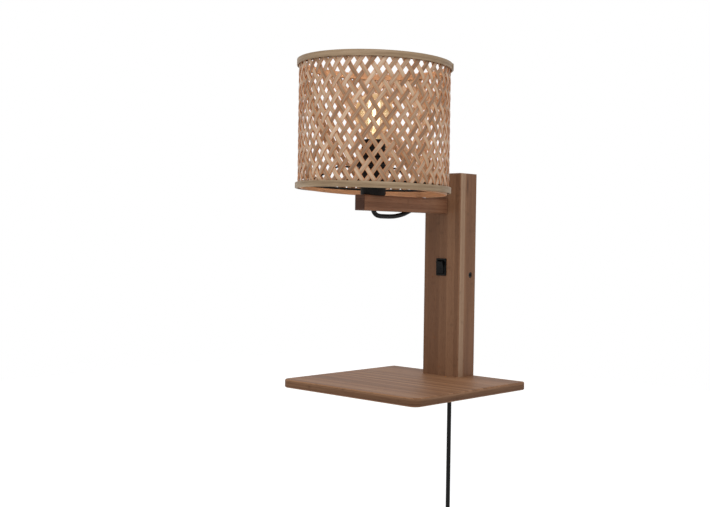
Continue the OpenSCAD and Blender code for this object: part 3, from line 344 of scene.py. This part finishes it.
brown = ((112, 78, 55), (124, 89, 64), (138, 102, 75))
red_brown = ((112, 77, 54), (130, 93, 67), (150, 112, 83))
pale = ((134, 104, 80), (150, 119, 94), (166, 135, 109))
dress(bamboo("bamboo post front", ("z", "x", brown, strip_w, 0.0037, 0.0023), ("z", "y", pale, 4 * mm)),
      "post_front_board")
dress(bamboo("bamboo post side", ("z", "y", red_brown, 5 * mm), ("z", "y", red_brown, 5 * mm),
             mark=(-0.019, 0.111)), "post_left_board", "post_right_board")
dress(bamboo("bamboo end block", ("x", "y", brown)), "post_top_block")

# ---- Shelf and its screws ----
# One board of pressed bamboo in three layers, 10 mm thick, with its corners rounded and its
# edges eased. Two screws hold it up against the post's foot.
shelf_face = ((116, 81, 56), (136, 98, 70), (156, 117, 87))
shelf_edge = ((84, 57, 40), (108, 77, 55), (138, 103, 77))
shelf_layer = 3.4 * mm
dress(bamboo("bamboo shelf", ("x", "y", shelf_face, 7 * mm), ("xy", "z", shelf_edge, shelf_layer),
             looking="z", shine=0.12), "shelf_board")
dress(plated, "shelf_screws")

# ---- Arm and its screws ----
# One bamboo bar, planed square, with a way drilled through it for the lamp lead. Two
# screws from inside the post hold it.
arm_end = ((66, 41, 30), (80, 52, 38), (96, 65, 49))
arm_side = ((106, 69, 48), (124, 85, 61), (146, 104, 77))
dress(bamboo("bamboo arm", ("x", "z", arm_end, 3 * mm), ("y", "z", arm_side, strip_w, 0.004)), "arm")
dress(plated, "arm_screws")

# ---- Bracket and lock screws ----
# A plated steel strip screwed to the wall, on which the post hangs. Two black screws
# through the post's sides lock it there.
dress(plated, "wall_bracket")
blackened = finish("black screws and wire", "black_metal", 0.42, (22, 22, 23), shine=0.2)
mottle(blackened, 300, 3, (9, 9, 9), (22, 21, 20), 0.75)
bump(blackened, noise(blackened, place_in(blackened), 1500, 3), 0.1, 0.0001)
dress(blackened, "lock_screws")

# ---- Switch ----
# A snap-in rocker switch in satin black plastic, let into the post's front board. Inside
# the post, push-on sleeves cover its two brass tabs.
satin = finish("black switch plastic", "switch_black", 0.36, (14, 14, 15), shine=0.12)
mottle(satin, 150, 3, (4, 4, 4), (10, 10, 9))
bump(satin, noise(satin, place_in(satin), 2200, 2), 0.06, 0.0001)
dress(satin, "switch_housing", "rocker")
brass = finish("brass", "brass", 0.3, (214, 176, 104))
shader_of(brass).inputs["Metallic"].default_value = 1
mottle(brass, 200, 4, (196, 156, 86), (224, 190, 122))
bump(brass, noise(brass, place_in(brass), 1200, 2), 0.06, 0.0001)
dress(brass, "switch_tabs", "terminal_screws", "holder_contacts", "nipple")
red = finish("red sleeve plastic", "red_plastic", 0.5, (150, 40, 32))
mottle(red, 250, 3, (138, 34, 27), (162, 50, 40))
bump(red, noise(red, place_in(red), 1200, 2), 0.08, 0.0001)
dress(red, "tab_sleeves")

# ---- Terminal block and cord clamp ----
# Moulded in ivory plastic and screwed to the back of the front board. The clamp holds the
# mains lead so that a pull never reaches the wires.
ivory = finish("ivory moulded plastic", "ivory_plastic", 0.45, (218, 213, 198))
mottle(ivory, 160, 3, (208, 202, 186), (226, 221, 207))
bump(ivory, noise(ivory, place_in(ivory), 900, 3), 0.1, 0.0001)
dress(ivory, "terminal_block", "cord_clamp", "holder_insert")
dress(plated, "cord_clamp_screws")

# ---- Leads inside the post ----
# The mains lead comes up through a black bush in the shelf to the clamp, and its cores go
# on to the switch and the terminal block.
inside_lead = [(0, -20.3, z) for z in (-52, -64, -76, -86)] + [
    (0, -19.2, -97), (0, -15.8, -108), (0, -13.5, -117)] + [(0, -13, z) for z in (-126, -138, -148, -158)]
mains_inner = tube("mains_lead_inside", smooth_line(inside_lead, 5) * mm, lead_r, sheath)
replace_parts(mains_inner, "mains_lead_inner")
dress(moulded, "lead_bush")

# ---- Lamp lead ----
# It leaves the lampholder through a brass nipple in the arm, hangs in a short loop under
# the arm, and goes back into the arm and along it into the post.
lamp_line = [(-162.4, 102.9), (-162.4, 92), (-162.4, 84), (-161.6, 78), (-159.4, 74), (-155.6, 71.4),
             (-150, 70.2), (-142, 70), (-131.5, 70.1), (-121, 70.9), (-109, 73.2), (-100, 76.2),
             (-92, 79.2), (-86, 80.9), (-79, 81.6), (-66, 81.6), (-53, 81.6), (-40, 81.6), (-27, 81.6),
             (-19, 81.2), (-14, 79), (-11, 74.8), (-10.4, 69.6), (-10.4, 66.6), (-10.4, 63.6)]
lamp_lead = tube("lamp_lead_loop", smooth_line([(0, y, z) for y, z in lamp_line], 5) * mm, lead_r, sheath)
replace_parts(lamp_lead, "lamp_lead")

# ---- Single cores ----
# Four wires in blue plastic between the lead ends, the switch and the terminal block.
core_r = 1.05 * mm
core = finish("blue core plastic", "core_blue", 0.4, (58, 84, 140))
mottle(core, 300, 3, (50, 75, 130), (68, 95, 152))
bump(core, noise(core, place_in(core), 1800, 2), 0.08, 0.0001)
core_lines = {
    "core_lead_to_switch": [
        (-1.3, -20.3, -52), (-1.3, -20.3, -48), (-1, -18, -40), (-0.4, -14.8, -31), (0, -14, -20),
        (0, -14, -4), (0, -14, 2.3)],
    "core_switch_to_lamp": [
        (0, -14, 16.7), (0, -14, 22), (-1, -14, 32), (-1.8, -13, 42), (-1.6, -11.1, 52.6),
        (-1.3, -10.4, 59.6), (-1.3, -10.4, 63.6)],
    "core_lead_to_block": [
        (1.3, -20.3, -52), (1.3, -20.3, -48), (4, -19.6, -36), (9, -18.4, -25), (11, -18, -14),
        (11, -18, 10.5), (11, -18, 30.5)],
    "core_block_to_lamp": [
        (11, -18, 38.5), (11, -18, 42.5), (10.4, -17, 46.5), (8.4, -14.6, 50.1), (4.4, -12, 55.6),
        (1.8, -10.6, 58.6), (1.3, -10.4, 61.2), (1.3, -10.4, 63.6)]}
cores = [tube(name, smooth_line(points, 5) * mm, core_r, core, sides=14)
         for name, points in core_lines.items()]
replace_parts(cores[0], "inner_cores")

# ---- Lampholder ----
# A black moulded holder with a small screw thread: a cap on the arm, a sleeve screwed into
# it, and an ivory insert with brass contacts.
dress(moulded, "holder_cap", "holder_sleeve", "shade_ring_nut")

# ---- Shade carrier ----
# A black metal ring on the lampholder's flange, with three bent wire spokes to a ring of
# wire that stands on the shade's bottom hoop. The spokes are welded to both.
shade_y, shade_foot, shade_top = -162, 97, 247
shade_skew = -0.0229


def skewed(point, slope=shade_skew):
    """A point on the shade, in metres. The drum is woven by hand and its rims slope by 4 mm."""
    x, y, z = point
    beside = x * rightward.x + (y - shade_y) * rightward.y
    return (x * mm, y * mm, (z + slope * beside) * mm)


# The bottom inner hoop sits askew, lower away from the camera, and is wider on its right
inner_foot, inner_top, inner_tilt, inner_taper = 97.9, 104.2, -0.02, -0.018


def tilted(point, slope=shade_skew):
    """A point that goes with the bottom inner hoop, in metres."""
    x, y, z = point
    depth = (y - shade_y) * rightward.x - x * rightward.y
    return skewed((x, y, z + inner_tilt * depth), slope)


def tapered(point):
    """The same for the hoop itself."""
    return tilted(point, shade_skew + inner_taper * (inner_top - point[2]) / (inner_top - inner_foot))


def turned(name, outline, material, start=0.0, sweep=360.0, steps=192, shape=skewed, thinned=None):
    """An outline of (radius, z) points, in mm, turned about the shade's axis. thinned(t) may give
    an offset in radius for each place t along a part turn, 0 to 1."""
    closed = sweep >= 360
    count = steps if closed else steps + 1
    vertices = []
    for i in range(count):
        a = math.radians(start + sweep * i / steps)
        offset = thinned(i / steps) if thinned else 0
        for r, z in outline:
            vertices.append(shape(((r + offset) * math.cos(a), shade_y + (r + offset) * math.sin(a), z)))
    n = len(outline)
    faces = [(i * n + k, (i + 1) % count * n + k, (i + 1) % count * n + (k + 1) % n, i * n + (k + 1) % n)
             for i in range(steps) for k in range(n)]
    if not closed:
        faces.append(tuple(range(n)))
        faces.append(tuple(range((count - 1) * n, count * n))[::-1])
    return piece(name, vertices, faces, material)


def soft_corners(r0, r1, z0, z1, e):
    """A strip's section from r0 to r1 and z0 to z1, anticlockwise, with its corners rounded by e."""
    points = []
    for (cx, cz), first in (((r1 - e, z0 + e), -90), ((r1 - e, z1 - e), 0), ((r0 + e, z1 - e), 90),
                            ((r0 + e, z0 + e), 180)):
        for k in range(4):
            a = math.radians(first + 30 * k)
            points.append((cx + e * math.cos(a), cz + e * math.sin(a)))
    return points


def level(point):
    """A point on the lampholder, which stands true, in metres."""
    return tuple(v * mm for v in point)


carrier_foot, carrier_top = 126, 128
wire_ring_r, wire_r, spoke_r = 84.08, 1.2, 1.1
wire_z = inner_top + wire_r + 0.05
wire_section = [(wire_ring_r + wire_r * math.cos(a), wire_z + wire_r * math.sin(a))
                for a in np.arange(12) * math.pi / 6]
carrier_ring = turned("carrier_ring", soft_corners(14.1, 20, carrier_foot, carrier_top, 0.4), blackened,
                      steps=64, shape=level)
turned("carrier_wire_ring", wire_section, blackened, shape=tilted)
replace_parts(carrier_ring, "shade_spider")
# A spoke runs level to its bend, and from there down to the wire ring, which isn't level
bend_r, spoke_end = 45, 84
profile = smooth_line([(18.6, 127), (26, 127), (34, 127), (40.6, 127), (43, 126.8), (45.6, 125.8),
                       (48.4, 124.1), (56, 119.7), (66, 114.3), (76, 109.3), (83.3, wire_z)], 3)
for number, direction in enumerate((90, 210, 330)):
    a = math.radians(direction)
    lift = spoke_end * (math.cos(a) * (shade_skew * rightward.x - inner_tilt * rightward.y)
                        + math.sin(a) * (shade_skew * rightward.y + inner_tilt * rightward.x))
    spoke = [(r * math.cos(a) * mm, (shade_y + r * math.sin(a)) * mm,
              (z + lift * max(r - bend_r, 0) / (spoke_end - bend_r)) * mm) for r, z in profile]
    tube(f"carrier_spoke_{number}", spoke, spoke_r * mm, blackened, sides=12)

# ---- Woven shade ----
# A drum of thin bamboo splints, woven over and under at a slant both ways, 43 each way.
# Each splint is 5.25 mm wide or a little less, and waves gently from crossing to crossing.
weave_r, weave_wave = 86.94, 0.52
splints, weave_rows, row_h = 43, 15, 9.388
splint_step = 360 / splints
# the height of the lowest row above the shade's foot, the direction of its first opening in
# degrees, and how far the openings move round from row to row
first_row, first_opening, weave_lean = 6.93, -49.848, 0.271
splint_w, splint_t = 5.25, 0.6
width_spread, sway_spread = 0.07, 0.25
splint_end = 3.4
# How far the hand-made weave runs off its even pattern, in degrees round and in mm up: one
# number for each of the shapes in drift()
drift_turn = (-0.009, 1.019, -0.241, 0.5, 0.619)
drift_lift = (-1.769, 2.878, -0.095, 0.901, -0.903)


def drift(direction, z):
    """The weave's turn in degrees and lift in mm at a place on the drum."""
    side = math.radians(direction + 90) - view_azimuth
    back = (1 - math.cos(side)) / 2
    above_middle = (2 * z - shade_foot - shade_top) / (shade_top - shade_foot)
    shapes = (back, math.sin(side), math.sin(2 * side), back * above_middle, math.sin(side) ** 2)
    return sum(a * b for a, b in zip(drift_turn, shapes)), sum(a * b for a, b in zip(drift_lift, shapes))


def woven(name, turn, material, seed):
    """All the splints that lean one way: turn is 1 or -1. seed is for their widths and tones."""
    chance = np.random.default_rng(seed)
    row_low = (splint_end - first_row) / row_h
    row_high = (shade_top - shade_foot - splint_end - first_row) / row_h
    # the section, from its outer or inner left corner round, in widths and thicknesses
    section = [(-0.5, -0.3), (-0.46, -0.5), (0.46, -0.5), (0.5, -0.3), (0.5, 0.26), (0.45, 0.44),
               (0, 0.52), (-0.45, 0.44), (-0.5, 0.26)]
    sides = len(section)
    vertices, faces, uvs, tones = [], [], [], []
    slant = turn * weave_r * math.radians(splint_step / 2 + turn * weave_lean)
    slope = math.hypot(row_h, slant)
    for index in range(splints):
        tone = chance.random()
        width = splint_w * (1 + chance.uniform(-width_spread, 0.0))
        sway = chance.uniform(-sway_spread, sway_spread)
        first = len(vertices)
        ends = []
        for row in (row_low, row_high):
            direction = first_opening + splint_step * (index + 0.5 + turn * row / 2)
            ends.append(row - drift(direction, shade_foot + row * row_h)[1] / row_h)
        rows = np.linspace(*ends, 100)
        for row in rows:
            direction = first_opening + weave_lean * row + splint_step * (index + 0.5 + turn * row / 2)
            round_by, lift = drift(direction, shade_foot + first_row + row * row_h)
            direction = math.radians(direction + round_by)
            outward = np.array([math.cos(direction), math.sin(direction), 0])
            round_it = np.array([-outward[1], outward[0], 0])
            held = min(max(row, 0), weave_rows)
            r = weave_r + turn * weave_wave * math.cos(math.pi * held)
            centre = np.array([0, shade_y, shade_foot + first_row + row * row_h + lift]) + outward * r
            across = (round_it * row_h - np.array([0, 0, slant])) / slope
            lean = -turn * weave_wave * math.pi * math.sin(math.pi * held) / slope
            along = (round_it * slant + np.array([0, 0, row_h])) / slope
            out = (outward - along * lean) / math.hypot(1, lean)
            shift = sway * math.sin(row * 0.9 + index)
            for u, v in section:
                vertices.append(skewed(centre + across * (u * width + shift) + out * v * splint_t))
                uvs.append((u + 0.5, (row - row_low) * slope * mm))
                tones.append(tone)
        for i in range(len(rows) - 1):
            for k in range(sides):
                a, b = first + i * sides + k, first + i * sides + (k + 1) % sides
                faces.append((a, a + sides, b + sides, b))
        faces.append(tuple(range(first, first + sides)))
        faces.append(tuple(range(first + (len(rows) - 1) * sides, first + len(rows) * sides))[::-1])
    made = piece(name, vertices, faces, material)
    layer = made.data.uv_layers.new(name="splint")
    corners = np.empty(len(made.data.loops), int)
    made.data.loops.foreach_get("vertex_index", corners)
    layer.data.foreach_set("uv", np.array(uvs)[corners].ravel())
    tint = made.data.attributes.new("splint_tone", "FLOAT", "POINT")
    tint.data.foreach_set("value", tones)
    return made


def splint_finish(name, dark, middle, light, cut_edge_and_glow):
    """Split bamboo: fine fibres along each splint and a tone of its own. Its edges are warmer, partly as its
    cut edges and partly as a painted glow of the bulb on its sides, and its lower end has painted shade where
    it is tucked between the bottom hoops.
    """
    material = finish(name, "splint", 0.5, shine=0.25)
    strip = node(material, "UVMap", {"uv_map": "splint"}).outputs["UV"]
    tone = node(material, "Attribute", {"attribute_name": "splint_tone"}).outputs["Fac"]
    parts = node(material, "SeparateXYZ", Vector=strip).outputs
    where = node(material, "CombineXYZ", X=maths(material, "MULTIPLY", parts[0], 0.0055),
                 Y=maths(material, "MULTIPLY", parts[1], 0.05),
                 Z=maths(material, "MULTIPLY", tone, 3.0)).outputs["Vector"]
    fibre = noise(material, where, 1300, 3, 0.6)
    broad = noise(material, where, 420, 2, 0.5)
    blend = maths(material, "ADD", maths(material, "MULTIPLY", tone, 0.4),
                  maths(material, "ADD", maths(material, "MULTIPLY", fibre, 0.7),
                        maths(material, "MULTIPLY", broad, 0.4)))
    colour = ramp(material, blend, [(0.5, dark), (0.75, middle), (1.0, light)])
    # warmer edges: partly the splints' cut edges, partly a painted glow of the bulb on their sides
    from_middle = maths(material, "ABSOLUTE", maths(material, "SUBTRACT", parts[0], 0.5))
    cut_edge_and_glow_mask = node(material, "MapRange", Value=from_middle, From_Min=0.32, From_Max=0.5, To_Min=0.0,
               To_Max=0.95).outputs["Result"]
    colour = blended(material, "MIX", cut_edge_and_glow_mask, colour, linear(cut_edge_and_glow))
    # painted shade on each splint's lower end, where it is tucked between the bottom hoops
    painted_shade_at_foot = node(material, "MapRange", Value=parts[1], From_Min=0.003, From_Max=0.006, To_Min=0.85,
                To_Max=0.0).outputs["Result"]
    colour = blended(material, "MIX", painted_shade_at_foot, colour, linear((60, 42, 31)))
    join(material, colour, shader_of(material).inputs["Base Color"])
    bump(material, fibre, 0.25, 0.0001)
    return material


# the last colour of each is the edges', partly cut edge and partly painted glow of the bulb
splint_left = splint_finish("bamboo splint leaning left",
                            (132, 100, 76), (172, 141, 114), (208, 179, 152), (196, 128, 80))
splint_right = splint_finish("bamboo splint leaning right",
                             (136, 103, 77), (177, 145, 116), (211, 182, 153), (198, 130, 80))
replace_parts(woven("woven_splints_left", 1, splint_left, 11), "shade_splints_left")
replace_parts(woven("woven_splints_right", -1, splint_right, 23), "shade_splints_right")

# ---- Hoops ----
# Strips of bamboo bent into rings, one inside and one outside of the splints at each edge.
# The ends of the outer ones are thinned, lapped and glued.


# the hoops' faces, from the shade's axis, their height, and how much their edges are eased
inner_faces, outer_faces, lap_faces = (83.675, 85.275), (88.6, 90), (89.7, 90.9)
hoop_h, outer_lift, eased, lap_sweep = 7, 1.6, 0.45, 14
# the inner hoops' outer faces are painted dark as shade from this height up, over the shade's foot
painted_shade_from, painted_shade_slope = 3, -shade_skew + 0.012


def hoop_finish(name, dark, middle, light, painted_shade_colour=None):
    """Bent bamboo: long fibres that follow the hoop round. painted_shade_colour is a darker colour painted on
    its outer face as shade, where that face lies hidden behind the splints."""
    material = finish(name, "hoop", 0.5, shine=0.25)
    here = node(material, "SeparateXYZ", Vector=node(material, "TexCoord").outputs["Object"]).outputs
    turn = maths(material, "ARCTAN2", maths(material, "ADD", here[1], -shade_y * mm), here[0])
    run = node(material, "CombineXYZ", X=maths(material, "MULTIPLY", turn, 0.004), Y=here[2],
               Z=0.0).outputs["Vector"]
    fibre = noise(material, run, 1800, 4, 0.6)
    broad = noise(material, run, 300, 3, 0.5)
    blend = maths(material, "ADD", maths(material, "MULTIPLY", fibre, 0.45),
                  maths(material, "MULTIPLY", broad, 0.55))
    colour = ramp(material, blend, [(0.32, dark), (0.5, middle), (0.68, light)])
    if painted_shade_colour:
        # painted shade on the faces that look away from the axis, into the gap behind the splints
        normal = node(material, "SeparateXYZ", Vector=node(material, "TexCoord").outputs["Normal"]).outputs
        outward_x = maths(material, "MULTIPLY", normal[0], maths(material, "COSINE", turn))
        outward_y = maths(material, "MULTIPLY", normal[1], maths(material, "SINE", turn))
        outward = maths(material, "ADD", outward_x, outward_y)
        painted_shade_mask = node(material, "MapRange", Value=outward, From_Min=0.0, From_Max=0.3).outputs["Result"]
        # the lower edge, which stands free of the weave, gets no painted shade
        from_axis = maths(material, "ADD", here[1], -shade_y * mm)
        beside = maths(material, "ADD", maths(material, "MULTIPLY", here[0], rightward.x),
                       maths(material, "MULTIPLY", from_axis, rightward.y))
        height = maths(material, "ADD", here[2], maths(material, "MULTIPLY", beside, painted_shade_slope))
        painted_shade_band = node(material, "MapRange", Value=height, From_Min=(shade_foot + painted_shade_from) * mm,
                          From_Max=(shade_foot + painted_shade_from + 1) * mm).outputs["Result"]
        painted_shade_mask = maths(material, "MULTIPLY", painted_shade_mask, painted_shade_band)
        colour = blended(material, "MIX", painted_shade_mask, colour, linear(painted_shade_colour))
    join(material, colour, shader_of(material).inputs["Base Color"])
    bump(material, fibre, 0.25, 0.0001)
    return material


def lap(t):
    """How far the lapped end stands off: it thins out to nothing at its free end."""
    return -0.55 * t ** 3


def hoops(where, foot, lap_end, outer_finish, low, high, inner_shape=skewed):
    """The outer hoop with its lap, and the inner one, at one edge of the shade. low and high are
    the inner one's edges."""
    outer = turned(f"{where}_hoop", soft_corners(*outer_faces, foot, foot + hoop_h, eased), outer_finish)
    turned(f"{where}_hoop_lap", soft_corners(*lap_faces, foot + 0.3, foot + hoop_h - 0.4, 0.4), outer_finish,
           start=lap_end - lap_sweep, sweep=lap_sweep, steps=24, thinned=lap)
    inner = turned(f"{where}_inner_hoop", soft_corners(*inner_faces, low, high, eased), lining_painted_light,
                   shape=inner_shape)
    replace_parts(outer, f"{where}_hoop")
    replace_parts(inner, f"{where}_inner_hoop")


rim_top = hoop_finish("bent bamboo top hoop", (122, 97, 74), (150, 126, 99), (172, 148, 121))
rim_foot = hoop_finish("bent bamboo bottom hoop", (118, 96, 72), (148, 125, 98), (176, 155, 129))
# The inner hoops are the same bamboo as the outer ones. Their warmer, lighter tones paint the bulb's glow on
# the shade's inside, and their outer faces carry painted shade.
lining_painted_light = hoop_finish("bent bamboo inner hoops", (168, 120, 86), (198, 148, 110), (216, 168, 128),
                     painted_shade_colour=(52, 36, 27))
hoops("shade_top", shade_top - hoop_h, 45, rim_top, shade_top - hoop_h, shade_top)
hoops("shade_bottom", shade_foot + outer_lift, 228, rim_foot, inner_foot, inner_top, tapered)

# ---- Bulb ----
# A small globe bulb with four yellow light sticks in a gold-tinted glass ball, on a small screw cap. It is
# lit: the sticks give light, and the glow in the glass and in the stem is painted.
amber = finish("gold tinted glass", "amber_glass", 0.05, (60, 42, 26), shine=0.5)
facing = node(amber, "LayerWeight", Blend=0.35).outputs["Facing"]
join(amber, node(amber, "MapRange", Value=facing, From_Min=0.0, From_Max=1.0, To_Min=0.3,
                 To_Max=0.85).outputs["Result"], shader_of(amber).inputs["Alpha"])
join(amber, ramp(amber, facing, [(0.0, (52, 38, 24)), (1.0, (84, 56, 32))]),
     shader_of(amber).inputs["Base Color"])
# painted glow: the glass itself emits a pale gold, brighter where it faces the camera, for the sticks' light
# in it
join(amber, ramp(amber, facing, [(0.0, (232, 200, 142)), (1.0, (206, 152, 92))]),
     shader_of(amber).inputs["Emission Color"])
shader_of(amber).inputs["Emission Strength"].default_value = 0.7
dress(amber, "bulb_glass")
cap_metal = finish("plain bulb cap", "cap_metal", 0.3, (184, 185, 187))
shader_of(cap_metal).inputs["Metallic"].default_value = 1
mottle(cap_metal, 300, 3, (170, 171, 173), (196, 197, 199))
dress(cap_metal, "bulb_cap", "bulb_foot")
dress(moulded, "bulb_insulator")
clear = finish("clear glass stem", "clear_glass", 0.03, (226, 230, 230))
join(clear, node(clear, "MapRange", Value=node(clear, "LayerWeight", Blend=0.5).outputs["Facing"],
                 From_Min=0.0, From_Max=1.0, To_Min=0.3, To_Max=0.8).outputs["Result"],
     shader_of(clear).inputs["Alpha"])
# painted glow: the clear stem emits a pale yellow, for the sticks' light shining through it
shader_of(clear).inputs["Emission Color"].default_value = linear((255, 236, 170))
shader_of(clear).inputs["Emission Strength"].default_value = 1.5
dress(clear, "bulb_stem")
sticks = finish("yellow light sticks", "filament", 0.4, (255, 240, 190))
stick_light = ramp(sticks, noise(sticks, place_in(sticks), 700, 2),
                   [(0.3, (255, 244, 204)), (0.7, (255, 250, 222))])
join(sticks, stick_light, shader_of(sticks).inputs["Base Color"])
join(sticks, stick_light, shader_of(sticks).inputs["Emission Color"])
shader_of(sticks).inputs["Emission Strength"].default_value = 2.6
# The sticks stand round a thin post, a little wider apart at their tops, with rounded ends
stick_foot_r, stick_top_r, stick_foot, stick_top, stick_r = 4.6, 5.6, 170.8, 204.2, 1.55
support_from, support_to, support_r, support_arm_r = 170.5, 204.5, 0.5, 0.3
stick_directions = [math.radians(45 + 90 * number) for number in range(4)]


def round_bulb(a, r, z):
    """A point at that direction and distance from the bulb's axis, in metres."""
    return (r * math.cos(a) * mm, (shade_y + r * math.sin(a)) * mm, z * mm)


for number, a in enumerate(stick_directions):
    stick = [round_bulb(a, stick_foot_r + (stick_top_r - stick_foot_r) * t,
                        stick_foot + (stick_top - stick_foot) * t) for t in np.linspace(0, 1, 13)]
    thick = [stick_r * mm * min(1, 0.45 + 3.2 * min(t, 1 - t)) for t in np.linspace(0, 1, 13)]
    made = tube(f"bulb_light_stick_{number}", stick, thick, sticks, sides=12, body="bulb")
    if number == 0:
        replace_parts(made, "bulb_filaments")
tube("bulb_stick_support", [round_bulb(0, 0, z) for z in np.linspace(support_from, support_to, 8)],
     support_r * mm, plated, sides=10, body="bulb")
for number, a in enumerate(stick_directions):
    for r_end, z in ((stick_foot_r, stick_foot + 0.8), (stick_top_r, stick_top - 0.6)):
        arm_line = [round_bulb(a, r, z) for r in np.linspace(0, r_end, 4)]
        tube(f"bulb_support_arm_{number}_{int(z)}", arm_line, support_arm_r * mm, plated, sides=8,
             body="bulb")

bulb_middle = 189.5
lamp_glow = bpy.data.lights.new("bulb_glow", "POINT")
lamp_glow.energy = 0.3
lamp_glow.color = (1.0, 0.82, 0.62)
lamp_glow.shadow_soft_size = 0.02
glow = bpy.data.objects.new("bulb_glow", lamp_glow)
glow.location = (0, shade_y * mm, bulb_middle * mm)
bpy.context.scene.collection.objects.link(glow)

# ---- Floor and light ----
# A pale floor well below the lamp, which hangs on a wall, a plain white room, and one soft
# light above it, in front and to the right.
floor_z, floor_reach = -1.3, 8
floor = finish("pale floor", "stage", 0.9, (244, 244, 244))


def looked_at(material):
    """1 for rays that show a place to the camera, also through glass or in a shine, else 0."""
    rays = node(material, "LightPath").outputs
    return maths(material, "MAXIMUM", rays["Is Camera Ray"],
                 maths(material, "MAXIMUM", rays["Is Glossy Ray"], rays["Is Transmission Ray"]))


shader_of(floor).inputs["Emission Color"].default_value = (1, 1, 1, 1)
join(floor, maths(floor, "MULTIPLY", looked_at(floor), 0.45), shader_of(floor).inputs["Emission Strength"])
floor_mesh = bpy.data.meshes.new("floor")
floor_corners = [(x * floor_reach, y * floor_reach, floor_z) for x, y in ((-1, -1), (1, -1), (1, 1), (-1, 1))]
floor_mesh.from_pydata(floor_corners, [], [(0, 1, 2, 3)])
floor_mesh.materials.append(floor)
floor_plane = bpy.data.objects.new("floor", floor_mesh)
bpy.context.scene.collection.objects.link(floor_plane)

world = bpy.data.worlds.new("white room")
bpy.context.scene.world = world
world.use_nodes = True
sky = world.node_tree.nodes["Background"]
sky.inputs["Color"].default_value = (1, 1, 1, 1)
sky.inputs["Strength"].default_value = 0.72
white = node(world, "Background", Color=(1, 1, 1, 1), Strength=1)
chosen = node(world, "MixShader")
join(world, looked_at(world), chosen.inputs[0])
join(world, sky.outputs[0], chosen.inputs[1])
join(world, white.outputs[0], chosen.inputs[2])
join(world, chosen.outputs[0], world.node_tree.nodes["World Output"].inputs["Surface"])

key_light = bpy.data.lights.new("soft_key", "AREA")
key_light.energy = 16
key_light.size = 1.4
key = bpy.data.objects.new("soft_key", key_light)
key.location = (0.9, -1.5, 1.5)
key.rotation_euler = (Vector((0, -0.1, 0)) - key.location).to_track_quat("-Z", "Y").to_euler()
bpy.context.scene.collection.objects.link(key)

bpy.context.scene.view_settings.view_transform = "Standard"
